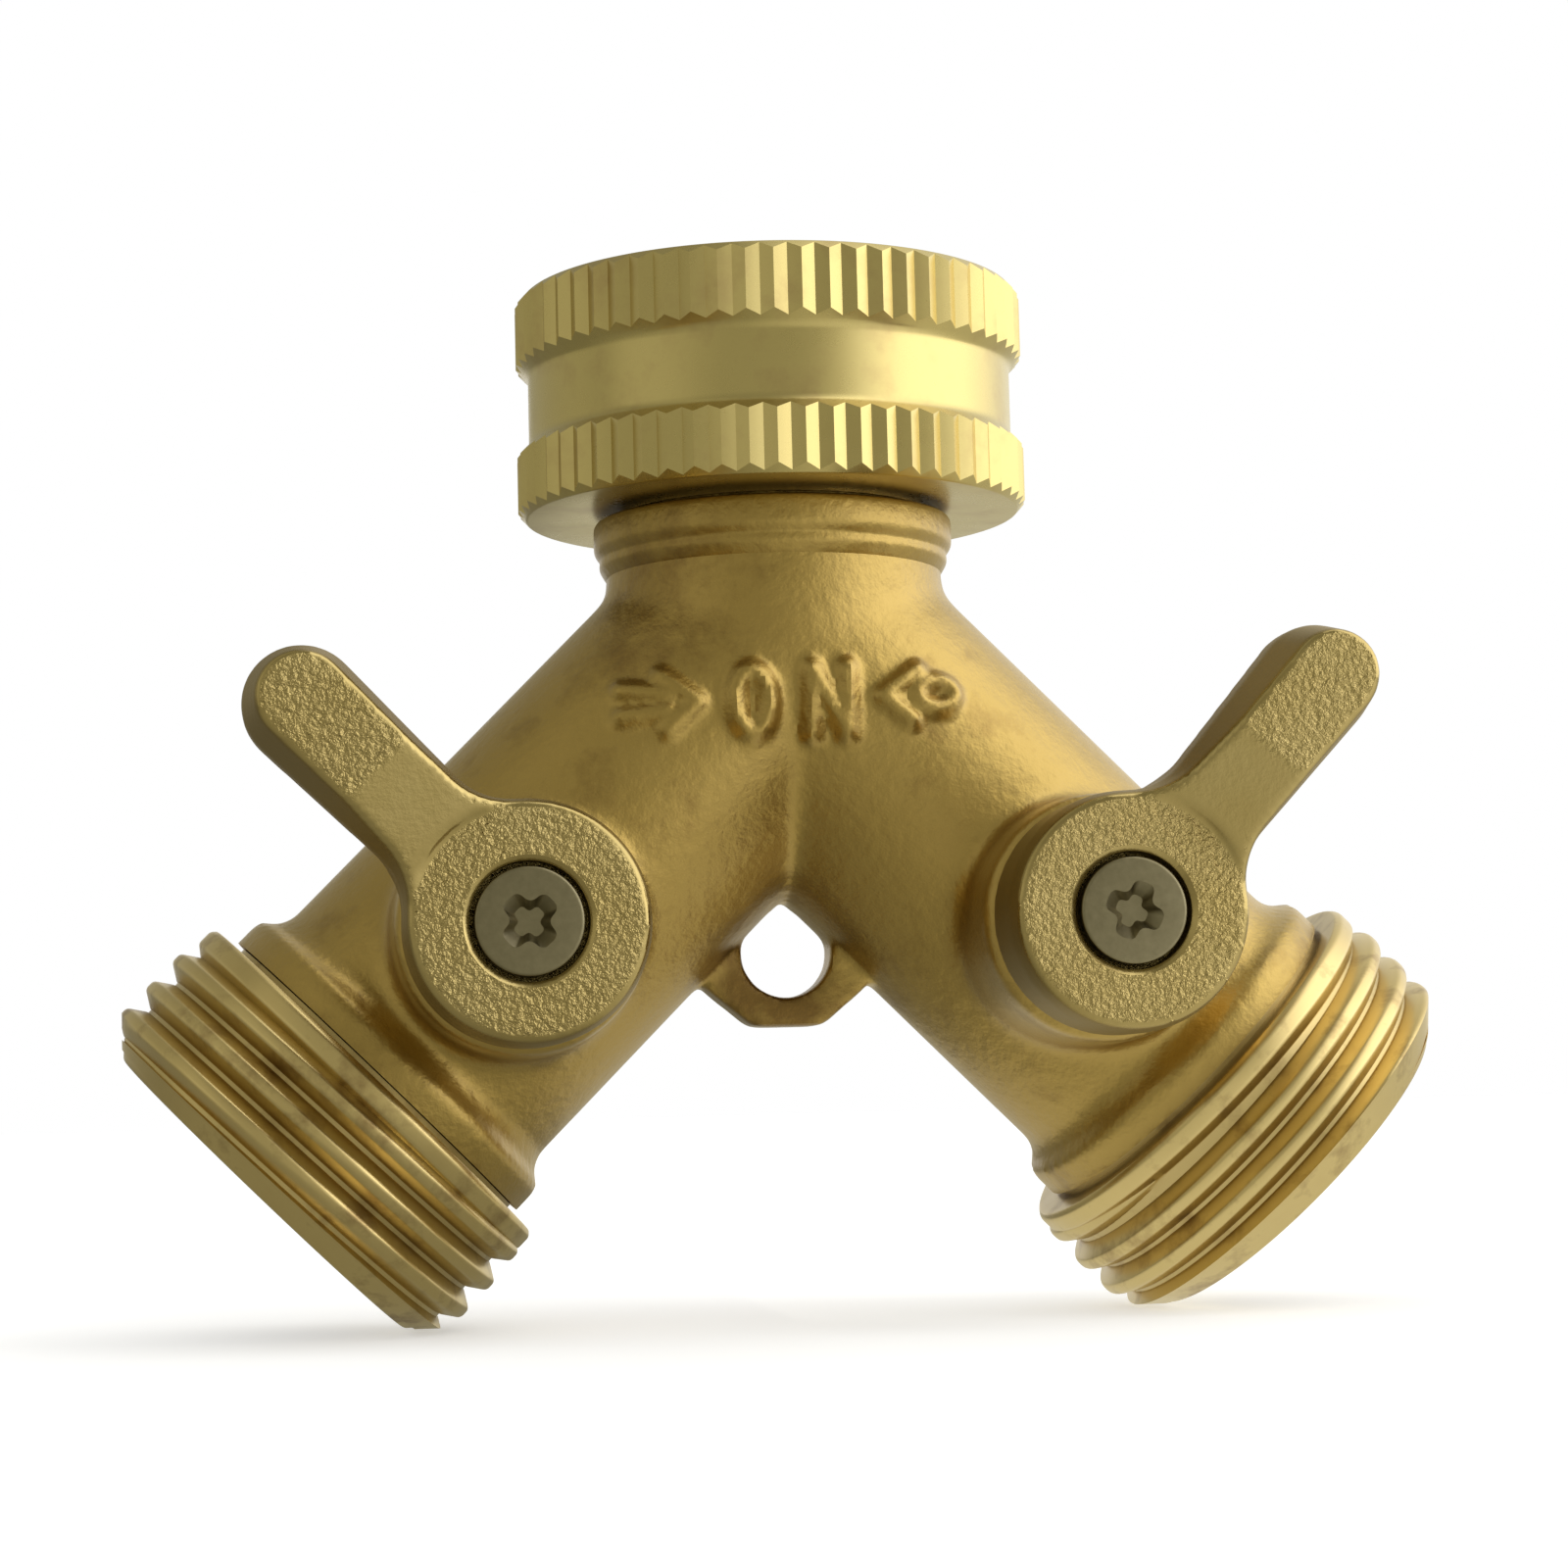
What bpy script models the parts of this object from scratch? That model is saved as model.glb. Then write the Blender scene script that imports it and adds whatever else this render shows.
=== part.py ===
# Two-way brass hose splitter: a cast Y body that hangs from a tap by a knurled
# swivel nut, with a quarter-turn ball valve and a screwed-in hose outlet on each leg.
# The inlet axis is Z, the front of the splitter faces -Y, and the origin is the
# centre of the swivel nut's top rim.
import math

import bmesh
import bpy
from mathutils import Matrix, Vector

MM = 0.001
CLEARANCE = 0.3 * MM

# Inlet and swivel nut
NUT_RADIUS = 15.6 * MM
NUT_HEIGHT = 13.6 * MM
NUT_TEETH = 60
KNURL_DEPTH = 0.65 * MM
NUT_CHAMFER = 0.5 * MM
NUT_GROOVE_RADIUS = 14.85 * MM
NUT_GROOVE_TOP = 9.1 * MM
NUT_GROOVE_BASE = 4.2 * MM
NUT_LIP = 2.3 * MM
FEMALE_MAJOR = 13.6 * MM
THREAD_DEPTH = 1.3 * MM
THREAD_PITCH = 2.21 * MM
WASHER_THICKNESS = 2.7 * MM
WASHER_BORE = 7.2 * MM

# Y body
Y_DROP = 22.7 * MM
LEG_ANGLE = math.radians(45)
LEG_FACETS = math.radians(2.3)
LEG_RADIUS = 10.2 * MM
COLLAR_STEP = 0.7 * MM
COLLAR_HEIGHT = 2.8 * MM
TAIL_RADIUS = 9.25 * MM
INLET_BORE = 6.4 * MM
RING_GROOVE = 0.95 * MM
RING_THICKNESS = 0.9 * MM
RING_REACH = 1.75 * MM
RING_SPLIT = 3.0 * MM
TAIL_LAND = 1.1 * MM
LEG_LENGTH = 34.85 * MM
VALVE_SETBACK = 11.25 * MM
FLANGE_STEP = 1.3 * MM
FLANGE_LENGTH = 1.9 * MM
FLANGE_FILLET = 1.7 * MM
EYE_BORE = 2.75 * MM
EYE_BAND = 1.75 * MM
EYE_DEPTH = 3.4 * MM
LETTER_HEIGHT = 4.9 * MM
LETTER_RISE = 0.5 * MM
ARROW_RISE = -0.2 * MM

# Ball valves
LEG_WALL = 2.3 * MM
BALL_SPACE = 0.9 * MM
BALL_LAND = 2.7 * MM
SEAT_SETBACK = 0.8 * MM
SEAT_EASE = 0.7 * MM
BOSS_RADIUS = 7.2 * MM
BOSS_RISE = 5.5 * MM
STEM_RADIUS = 3.4 * MM
STEM_FLANGE = 4.8 * MM
STEM_FLANGE_RISE = 2.8 * MM
STEM_SQUARE = 4.6 * MM
TANG_WIDTH = 2.6 * MM
TANG_LENGTH = 5.8 * MM
SLOT_DEPTH = 1.6 * MM
RING_SECTION = 0.38 * MM
GASKET_THICKNESS = 0.5 * MM

# Lever handles and their screws
HUB_RADIUS = 6.8 * MM
HUB_RISE = 6.3 * MM
PAD_RISE = 2.2 * MM
PAD_TILT = 0.8 * MM
LEVER_THICKNESS = 6.1 * MM
LEVER_REACH = 19.9 * MM
LEVER_WIDTH = 6.0 * MM
LEVER_WAIST = 5.4 * MM
LEVER_FILLET = 4.0 * MM
RAMP_START = 6.2 * MM
RAMP_END = 11.6 * MM
SCREW_HEAD = 3.0 * MM
SCREW_HEAD_HEIGHT = 1.6 * MM
SCREW_SHANK = 1.45 * MM
SCREW_LENGTH = 6.7 * MM
SCREW_SEAT = 1.5 * MM
STOP_RADIUS = 5.2 * MM
STOP_WIDTH = 1.2 * MM
STOP_HEIGHT = 0.8 * MM
STOP_SPAN = math.radians(22)
TRAVEL = math.radians(90)
PART_OPEN = {"left": 0.0, "right": math.radians(3.6)}

# Outlets
MALE_MAJOR = 13.5 * MM
OUTLET_LENGTH = 9.25 * MM
OUTLET_BORE = 8.2 * MM
SPIGOT_STEP = 0.5 * MM
OUTLET_LAND = 1.2 * MM
BORE_TAPER = 2.5 * MM

FINE = 28
COARSE = 20

for old in list(bpy.data.objects):
    bpy.data.objects.remove(old)

PARTS = bpy.data.collections.new("hose_splitter")
CUTTERS = bpy.data.collections.new("cutters")
for group in (PARTS, CUTTERS):
    bpy.context.scene.collection.children.link(group)


def material(name, colour, metallic, roughness):
    """A plain shader for one real material."""
    made = bpy.data.materials.new(name)
    made.use_nodes = True
    shader = made.node_tree.nodes["Principled BSDF"]
    shader.inputs["Base Color"].default_value = (*colour, 1.0)
    shader.inputs["Metallic"].default_value = metallic
    shader.inputs["Roughness"].default_value = roughness
    return made


CAST_BRASS = material("cast_brass", (0.56, 0.39, 0.12), 1.0, 0.45)
TURNED_BRASS = material("turned_brass", (0.70, 0.50, 0.16), 1.0, 0.25)
HANDLE_BRASS = material("handle_brass", (0.60, 0.44, 0.16), 1.0, 0.5)
STEEL = material("steel", (0.35, 0.34, 0.32), 1.0, 0.4)
SPRING_STEEL = material("spring_steel", (0.45, 0.45, 0.46), 1.0, 0.3)
RUBBER = material("rubber", (0.03, 0.03, 0.03), 0.0, 0.7)
PTFE = material("ptfe", (0.85, 0.85, 0.83), 0.0, 0.5)
CHROME = material("plated_brass", (0.75, 0.75, 0.76), 1.0, 0.12)


def add_object(name, mesh, place, group, finish):
    """Link a mesh as one named object, as a part or as a hidden cutter."""
    made = bpy.data.objects.new(name, mesh)
    made.matrix_world = place
    group.objects.link(made)
    if finish:
        mesh.materials.append(finish)
    if group is CUTTERS:
        made.hide_render = True
        made.display_type = "WIRE"
    return made


def mesh_from(name, shape):
    """Close a working mesh with its faces pointing out."""
    bmesh.ops.recalc_face_normals(shape, faces=shape.faces)
    mesh = bpy.data.meshes.new(name)
    shape.to_mesh(mesh)
    shape.free()
    return mesh


def settled(name, maker):
    """The mesh that an object's modifiers make, welded and closed."""
    bpy.context.view_layer.update()
    graph = bpy.context.evaluated_depsgraph_get()
    shape = bmesh.new()
    shape.from_mesh(maker.evaluated_get(graph).to_mesh())
    bpy.data.objects.remove(maker)
    bmesh.ops.remove_doubles(shape, verts=shape.verts, dist=0.001 * MM)
    bmesh.ops.holes_fill(shape, edges=[e for e in shape.edges if e.is_boundary], sides=0)
    return mesh_from(name, shape)


def turned(name, profile, steps, turns=1.0, pitch=0.0):
    """Turn a closed (radius, height) outline about Z, or wind it along a helix."""
    outline = bpy.data.meshes.new(name)
    corners = [(radius, 0.0, height) for radius, height in profile]
    edges = [(i, i + 1) for i in range(len(corners) - 1)]
    if min(radius for radius, _ in profile) > 0.0:
        edges.append((len(corners) - 1, 0))
    outline.from_pydata(corners, edges, [])
    maker = bpy.data.objects.new(name, outline)
    PARTS.objects.link(maker)
    sweep = maker.modifiers.new("Turn", "SCREW")
    sweep.steps = max(3, round(steps * turns))
    sweep.render_steps = sweep.steps
    sweep.angle = 2.0 * math.pi * turns
    sweep.screw_offset = pitch * turns
    sweep.use_merge_vertices = pitch == 0.0
    sweep.merge_threshold = 0.00001
    return settled(name, maker)


def prism(name, outline, low, high):
    """Extrude a flat outline along Z."""
    shape = bmesh.new()
    base = shape.faces.new([shape.verts.new((x, y, low)) for x, y in outline])
    risen = bmesh.ops.extrude_face_region(shape, geom=[base])["geom"]
    top = [item for item in risen if isinstance(item, bmesh.types.BMVert)]
    bmesh.ops.translate(shape, verts=top, vec=(0.0, 0.0, high - low))
    return mesh_from(name, shape)


def block(name, size, centre):
    """A rectangular block."""
    shape = bmesh.new()
    bmesh.ops.create_cube(shape, size=1.0)
    bmesh.ops.scale(shape, vec=size, verts=shape.verts)
    bmesh.ops.translate(shape, vec=centre, verts=shape.verts)
    return mesh_from(name, shape)


def thread(name, profile, pitch, turns, core):
    """A helical ridge whose two ends sink into the core it is wound on."""
    ridge = turned(name, profile, FINE, turns, pitch)
    middle = sum(height for _, height in profile) / len(profile)
    for vert in ridge.vertices:
        part_turn = math.atan2(vert.co.y, vert.co.x) / (2.0 * math.pi)
        along = (vert.co.z - middle) / pitch
        along = part_turn + round(along - part_turn)
        fade = min(1.0, 4.0 * along + 0.05, 4.0 * (turns - along) + 0.05)
        radius = math.hypot(vert.co.x, vert.co.y)
        scale = (core + (radius - core) * fade) / radius
        vert.co.x *= scale
        vert.co.y *= scale
    return ridge


def combine(part, operation, name, mesh, place):
    """Join a shape to a part, cut it away, or keep only what lies inside it."""
    tool = add_object(name, mesh, place, CUTTERS, None)
    step = part.modifiers.new(name, "BOOLEAN")
    step.operation = operation
    step.solver = "MANIFOLD"
    step.object = tool
    return tool


def arc(centre, radius, start, stop, count):
    """Points along an arc, ends included."""
    angles = [start + (stop - start) * i / count for i in range(count + 1)]
    return [(centre[0] + radius * math.cos(a), centre[1] + radius * math.sin(a)) for a in angles]


def sector(inner, outer, start, stop, count):
    """The outline of a curved slot about the origin."""
    return arc((0.0, 0.0), outer, start, stop, count) + arc((0.0, 0.0), inner, stop, start, count)


def basis(x_axis, z_axis, origin):
    """A placement from two of its axes."""
    y_axis = z_axis.cross(x_axis)
    turn = Matrix((x_axis, y_axis, z_axis)).transposed()
    return Matrix.Translation(origin) @ turn.to_4x4()


Y_CENTRE = Vector((0.0, 0.0, -Y_DROP))
FRONT = Vector((0.0, -1.0, 0.0))
AT_NUT = Matrix.Translation((0.0, 0.0, -NUT_HEIGHT))
AT_Y = Matrix.Translation(Y_CENTRE)
FACING = basis(Vector((1.0, 0.0, 0.0)), FRONT, Y_CENTRE)
SIDES = {"left": -1.0, "right": 1.0}
VALVE_STATION = LEG_LENGTH - VALVE_SETBACK
MARGIN = 2.0 * MM


def leg_axis(side):
    """Unit vector down one leg."""
    return Vector((SIDES[side] * math.sin(LEG_ANGLE), 0.0, -math.cos(LEG_ANGLE)))


def leg_place(side):
    """Z runs down the leg from the point where the axes meet."""
    facets = Matrix.Rotation(SIDES[side] * LEG_FACETS, 4, "Z")
    return basis(FRONT, leg_axis(side), Y_CENTRE) @ facets


def valve_place(side):
    """Z runs out to the front through the ball's centre, X along the closed lever."""
    lever = Vector((SIDES[side] * math.cos(LEG_ANGLE), 0.0, math.sin(LEG_ANGLE)))
    return basis(lever, FRONT, Y_CENTRE + leg_axis(side) * VALVE_STATION)


def lever_place(side):
    """The valve's placement, turned as far open as the lever stands."""
    return valve_place(side) @ Matrix.Rotation(SIDES[side] * PART_OPEN[side], 4, "Z")


# Heights above the Y centre on the inlet axis
NECK_RADIUS = LEG_RADIUS + 0.1 * MM
COLLAR_RADIUS = NECK_RADIUS + COLLAR_STEP
NUT_BASE = Y_DROP - NUT_HEIGHT
LIP_TOP = NUT_BASE + NUT_LIP
COLLAR_TOP = NUT_BASE - CLEARANCE
COLLAR_BASE = COLLAR_TOP - COLLAR_HEIGHT
GROOVE_TOP = LIP_TOP + RING_THICKNESS + 2.0 * CLEARANCE
TAIL_TOP = GROOVE_TOP + TAIL_LAND
GROOVE_RADIUS = TAIL_RADIUS - RING_GROOVE

# Stations down a leg
FLANGE_RADIUS = LEG_RADIUS + FLANGE_STEP
CHAMBER_RADIUS = LEG_RADIUS - LEG_WALL
BALL_RADIUS = CHAMBER_RADIUS - BALL_SPACE
PORT_RADIUS = BALL_RADIUS - BALL_LAND
WATERWAY = PORT_RADIUS + CLEARANCE
SEAT_BORE = PORT_RADIUS + SEAT_EASE
SEAT_BACK = BALL_RADIUS - SEAT_SETBACK
SPIGOT_RADIUS = CHAMBER_RADIUS + SPIGOT_STEP
SEAT_INNER_BACK = VALVE_STATION - SEAT_BACK
SEAT_OUTER_BACK = VALVE_STATION + SEAT_BACK
COUNTERBORE = SEAT_OUTER_BACK - 0.9 * MM
COUNTERBORE_RADIUS = SPIGOT_RADIUS + CLEARANCE
FLANGE_START = LEG_LENGTH - FLANGE_LENGTH

# Heights from the ball centre along the stem
SLOT_FLOOR = BALL_RADIUS - SLOT_DEPTH
STEM_FLANGE_TOP = BALL_RADIUS + STEM_FLANGE_RISE
BOSS_TOP = LEG_RADIUS + BOSS_RISE
HUB_FACE = BOSS_TOP + HUB_RISE
PAD_FACE = HUB_FACE + PAD_RISE
LEVER_UNDERSIDE = PAD_FACE - LEVER_THICKNESS
SCREW_TIP = HUB_FACE - SCREW_LENGTH
GASKET_BASE = STEM_FLANGE_TOP + CLEARANCE
POCKET_TOP = GASKET_BASE + GASKET_THICKNESS + CLEARANCE
STEM_BORE = STEM_RADIUS + CLEARANCE
HUB_BASE = BOSS_TOP + CLEARANCE
HEAD_BASE = HUB_FACE - SCREW_HEAD_HEIGHT
SEAT_FLOOR = HEAD_BASE - CLEARANCE
SOCKET_TOP = SEAT_FLOOR - SCREW_SEAT
SQUARE_TOP = SOCKET_TOP - CLEARANCE
STOP_ANGLE = math.radians(180) - TRAVEL / 2.0

# The cast Y body
neck = [(0.0, TAIL_TOP), (TAIL_RADIUS - 0.4 * MM, TAIL_TOP), (TAIL_RADIUS, TAIL_TOP - 0.4 * MM),
        (TAIL_RADIUS, GROOVE_TOP), (GROOVE_RADIUS, GROOVE_TOP),
        (GROOVE_RADIUS, LIP_TOP), (TAIL_RADIUS, LIP_TOP),
        (TAIL_RADIUS, COLLAR_TOP), (COLLAR_RADIUS, COLLAR_TOP),
        (COLLAR_RADIUS, COLLAR_BASE), (NECK_RADIUS, COLLAR_BASE - 0.9 * MM),
        (NECK_RADIUS, -0.3 * MM), (0.0, -0.3 * MM)]
body = add_object("body", turned("body", neck, FINE), AT_Y, PARTS, CAST_BRASS)
leg = [(0.0, -1.0 * MM), (LEG_RADIUS, -1.0 * MM), (LEG_RADIUS, FLANGE_START - FLANGE_FILLET),
       (LEG_RADIUS + 0.35 * (FLANGE_RADIUS - LEG_RADIUS), FLANGE_START - FLANGE_FILLET / 2.0),
       (FLANGE_RADIUS - 0.1 * MM, FLANGE_START), (FLANGE_RADIUS, FLANGE_START + 0.5 * MM),
       (FLANGE_RADIUS, LEG_LENGTH), (0.0, LEG_LENGTH)]
boss = [(0.0, PORT_RADIUS), (BOSS_RADIUS, PORT_RADIUS), (BOSS_RADIUS, BOSS_TOP - 0.3 * MM),
        (BOSS_RADIUS - 0.3 * MM, BOSS_TOP), (0.0, BOSS_TOP)]
waterway = [(0.0, 0.0), (WATERWAY, 0.0), (WATERWAY, SEAT_INNER_BACK - CLEARANCE),
            (CHAMBER_RADIUS, SEAT_INNER_BACK - CLEARANCE), (CHAMBER_RADIUS, COUNTERBORE),
            (COUNTERBORE_RADIUS, COUNTERBORE), (COUNTERBORE_RADIUS, LEG_LENGTH + MARGIN),
            (0.0, LEG_LENGTH + MARGIN)]
stem_hole = [(0.0, PORT_RADIUS), (STEM_FLANGE + CLEARANCE, PORT_RADIUS),
             (STEM_FLANGE + CLEARANCE, POCKET_TOP), (STEM_BORE, POCKET_TOP),
             (STEM_BORE, BOSS_TOP + MARGIN), (0.0, BOSS_TOP + MARGIN)]
inlet = [(0.0, TAIL_TOP + MARGIN), (INLET_BORE, TAIL_TOP + MARGIN), (INLET_BORE, -MARGIN),
         (0.0, -MARGIN)]
for side in SIDES:
    combine(body, "UNION", f"leg_{side}", turned("leg", leg, FINE), leg_place(side))
    combine(body, "UNION", f"boss_{side}", turned("boss", boss, FINE), valve_place(side))

# The stop on each boss meets an end of the curved slot under its handle
for side, hand in SIDES.items():
    middle = -hand * STOP_ANGLE
    lug = sector(STOP_RADIUS - STOP_WIDTH / 2.0, STOP_RADIUS + STOP_WIDTH / 2.0,
                 middle - STOP_SPAN / 2.0, middle + STOP_SPAN / 2.0, 3)
    lug = prism("lug", lug, BOSS_TOP - 0.5 * MM, BOSS_TOP + STOP_HEIGHT)
    combine(body, "UNION", f"lug_{side}", lug, valve_place(side))

# The hanging eye between the legs
crotch = -LEG_RADIUS / math.sin(LEG_ANGLE)
eye_centre = crotch - 1.2 * EYE_BORE
eye_reach = EYE_BORE + EYE_BAND
around = 2.0 * math.pi
eye_outline = [(-0.47, -1.0), (0.47, -1.0), (1.13, -0.45), (0.7, 0.6), (-0.7, 0.6), (-1.13, -0.45)]
eye_outline = [(x * eye_reach, eye_centre + y * eye_reach) for x, y in eye_outline]
eye_hole = arc((0.0, eye_centre), EYE_BORE, 0.0, around, FINE)[:-1]
combine(body, "UNION", "eye", prism("eye", eye_outline, -EYE_DEPTH / 2.0, EYE_DEPTH / 2.0), FACING)
combine(body, "DIFFERENCE", "eye_hole", prism("eye_hole", eye_hole, -EYE_DEPTH, EYE_DEPTH), FACING)

# Raised marking on the front: the word that the levers point to when open, and an arrow each side
tall = LETTER_HEIGHT
stroke = 0.24 * tall
letter_o = (-0.49 * tall, -0.61 * tall)
ring = arc((0.0, 0.0), 1.0, 0.0, around, COARSE)[:-1]
wide_o = 0.35 * tall
high_o = 0.5 * tall
outer_o = [(letter_o[0] + wide_o * x, letter_o[1] + high_o * y) for x, y in ring]
inner_o = [(letter_o[0] + (wide_o - stroke) * x, letter_o[1] + (high_o - stroke) * y) for x, y in ring]
letter_n = [(0.0, 0.0), (0.24, 0.0), (0.24, 0.60), (0.56, 0.0), (0.80, 0.0), (0.80, 1.0),
            (0.56, 1.0), (0.56, 0.40), (0.24, 1.0), (0.0, 1.0)]
letter_n = [((x + 0.045) * tall, (y - 1.11) * tall) for x, y in letter_n]
arrow = [(0.0, 0.0), (-0.42, 0.36), (-0.42, 0.13), (-0.95, 0.13), (-0.95, -0.13), (-0.42, -0.13),
         (-0.42, -0.36)]
arrow_left = [((x - 1.06) * tall, (y - 0.57) * tall) for x, y in arrow]
arrow_right = [((0.90 - x) * tall, (y - 0.57) * tall) for x, y in reversed(arrow)]
for name, outline, rise in (("letter_o", outer_o, LETTER_RISE), ("letter_n", letter_n, LETTER_RISE),
                            ("arrow_left", arrow_left, ARROW_RISE), ("arrow_right", arrow_right, ARROW_RISE)):
    raised = prism(name, outline, LEG_RADIUS / 2.0, LEG_RADIUS + rise)
    combine(body, "UNION", name, raised, FACING)
sunk = prism("inner_o", inner_o, LEG_RADIUS - LETTER_RISE / 5.0, LEG_RADIUS + MARGIN)
combine(body, "DIFFERENCE", "inner_o", sunk, FACING)

# Every bore is one hollow, cut out in one piece
hollow = combine(body, "DIFFERENCE", "hollow", turned("hollow", inlet, FINE), AT_Y)
for side in SIDES:
    combine(hollow, "UNION", f"waterway_{side}", turned("waterway", waterway, FINE), leg_place(side))
    combine(hollow, "UNION", f"stem_hole_{side}", turned("stem_hole", stem_hole, COARSE), valve_place(side))

# The knurled swivel nut: two toothed bands with a plain groove between them
blank = [(0.0, NUT_HEIGHT), (NUT_RADIUS - NUT_CHAMFER, NUT_HEIGHT), (NUT_RADIUS, NUT_HEIGHT - NUT_CHAMFER),
         (NUT_RADIUS, NUT_GROOVE_TOP), (NUT_GROOVE_RADIUS, NUT_GROOVE_TOP - 0.4 * MM),
         (NUT_GROOVE_RADIUS, NUT_GROOVE_BASE + 0.4 * MM), (NUT_RADIUS, NUT_GROOVE_BASE),
         (NUT_RADIUS, NUT_CHAMFER), (NUT_RADIUS - NUT_CHAMFER, 0.0), (0.0, 0.0)]
blank = turned("swivel_nut", blank, 2 * NUT_TEETH)
for vert in blank.vertices:
    radius = math.hypot(vert.co.x, vert.co.y)
    tooth = round(math.atan2(vert.co.y, vert.co.x) * NUT_TEETH / math.pi)
    if radius > NUT_RADIUS - 0.01 * MM and tooth % 2:
        vert.co.x *= 1.0 - KNURL_DEPTH / NUT_RADIUS
        vert.co.y *= 1.0 - KNURL_DEPTH / NUT_RADIUS
nut = add_object("swivel_nut", blank, AT_NUT, PARTS, TURNED_BRASS)

WASHER_BASE = TAIL_TOP + CLEARANCE
WASHER_TOP = WASHER_BASE + WASHER_THICKNESS
FLANK = 0.78 * MM
CREST = 0.28 * MM
ROOTED = 0.4 * MM
mouth = [(0.0, -MM), (TAIL_RADIUS + CLEARANCE, -MM), (TAIL_RADIUS + CLEARANCE, NUT_LIP),
         (FEMALE_MAJOR, NUT_LIP), (FEMALE_MAJOR, NUT_HEIGHT + MM), (0.0, NUT_HEIGHT + MM)]
combine(nut, "DIFFERENCE", "nut_mouth", turned("nut_mouth", mouth, FINE), AT_NUT)
first = WASHER_TOP + CLEARANCE + FLANK - NUT_BASE
female = [(FEMALE_MAJOR + ROOTED, first + FLANK), (FEMALE_MAJOR - THREAD_DEPTH, first + CREST),
          (FEMALE_MAJOR - THREAD_DEPTH, first - CREST), (FEMALE_MAJOR + ROOTED, first - FLANK)]
turns = (NUT_HEIGHT - FLANK - CLEARANCE - first) / THREAD_PITCH
female = thread("nut_thread", female, THREAD_PITCH, turns, FEMALE_MAJOR + ROOTED)
combine(nut, "UNION", "nut_thread", female, AT_NUT)

# The split ring that keeps the nut on the neck, and the hose washer above it
ring_low = LIP_TOP + CLEARANCE
ring_high = ring_low + RING_THICKNESS
hoop = [(GROOVE_RADIUS + CLEARANCE, ring_high), (TAIL_RADIUS + RING_REACH, ring_high),
        (TAIL_RADIUS + RING_REACH, ring_low), (GROOVE_RADIUS + CLEARANCE, ring_low)]
clip = add_object("retaining_ring", turned("retaining_ring", hoop, FINE), AT_Y, PARTS, SPRING_STEEL)
split = block("ring_split", (RING_SPLIT, 2.0 * RING_SPLIT, RING_SPLIT), (0.0, TAIL_RADIUS, ring_low))
combine(clip, "DIFFERENCE", "ring_split", split, AT_Y)
flat = [(WASHER_BORE, WASHER_TOP), (FEMALE_MAJOR - CLEARANCE, WASHER_TOP),
        (FEMALE_MAJOR - CLEARANCE, WASHER_BASE), (WASHER_BORE, WASHER_BASE)]
washer = turned("hose_washer", [(r, z - NUT_BASE) for r, z in flat], FINE)
add_object("hose_washer", washer, AT_NUT, PARTS, RUBBER)


def seat(name, direction):
    """A PTFE ring with a hollow face against the ball."""
    hollow = BALL_RADIUS + CLEARANCE
    outer = CHAMBER_RADIUS - CLEARANCE
    face = [SEAT_BORE + (BALL_RADIUS - 0.6 * MM - SEAT_BORE) * i / 3.0 for i in range(4)]
    face = [(radius, -math.sqrt(hollow ** 2 - radius ** 2)) for radius in face]
    outline = face + [(outer, face[-1][1]), (outer, -SEAT_BACK), (SEAT_BORE, -SEAT_BACK)]
    return turned(name, [(r, VALVE_STATION + direction * s) for r, s in outline], COARSE)


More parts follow.
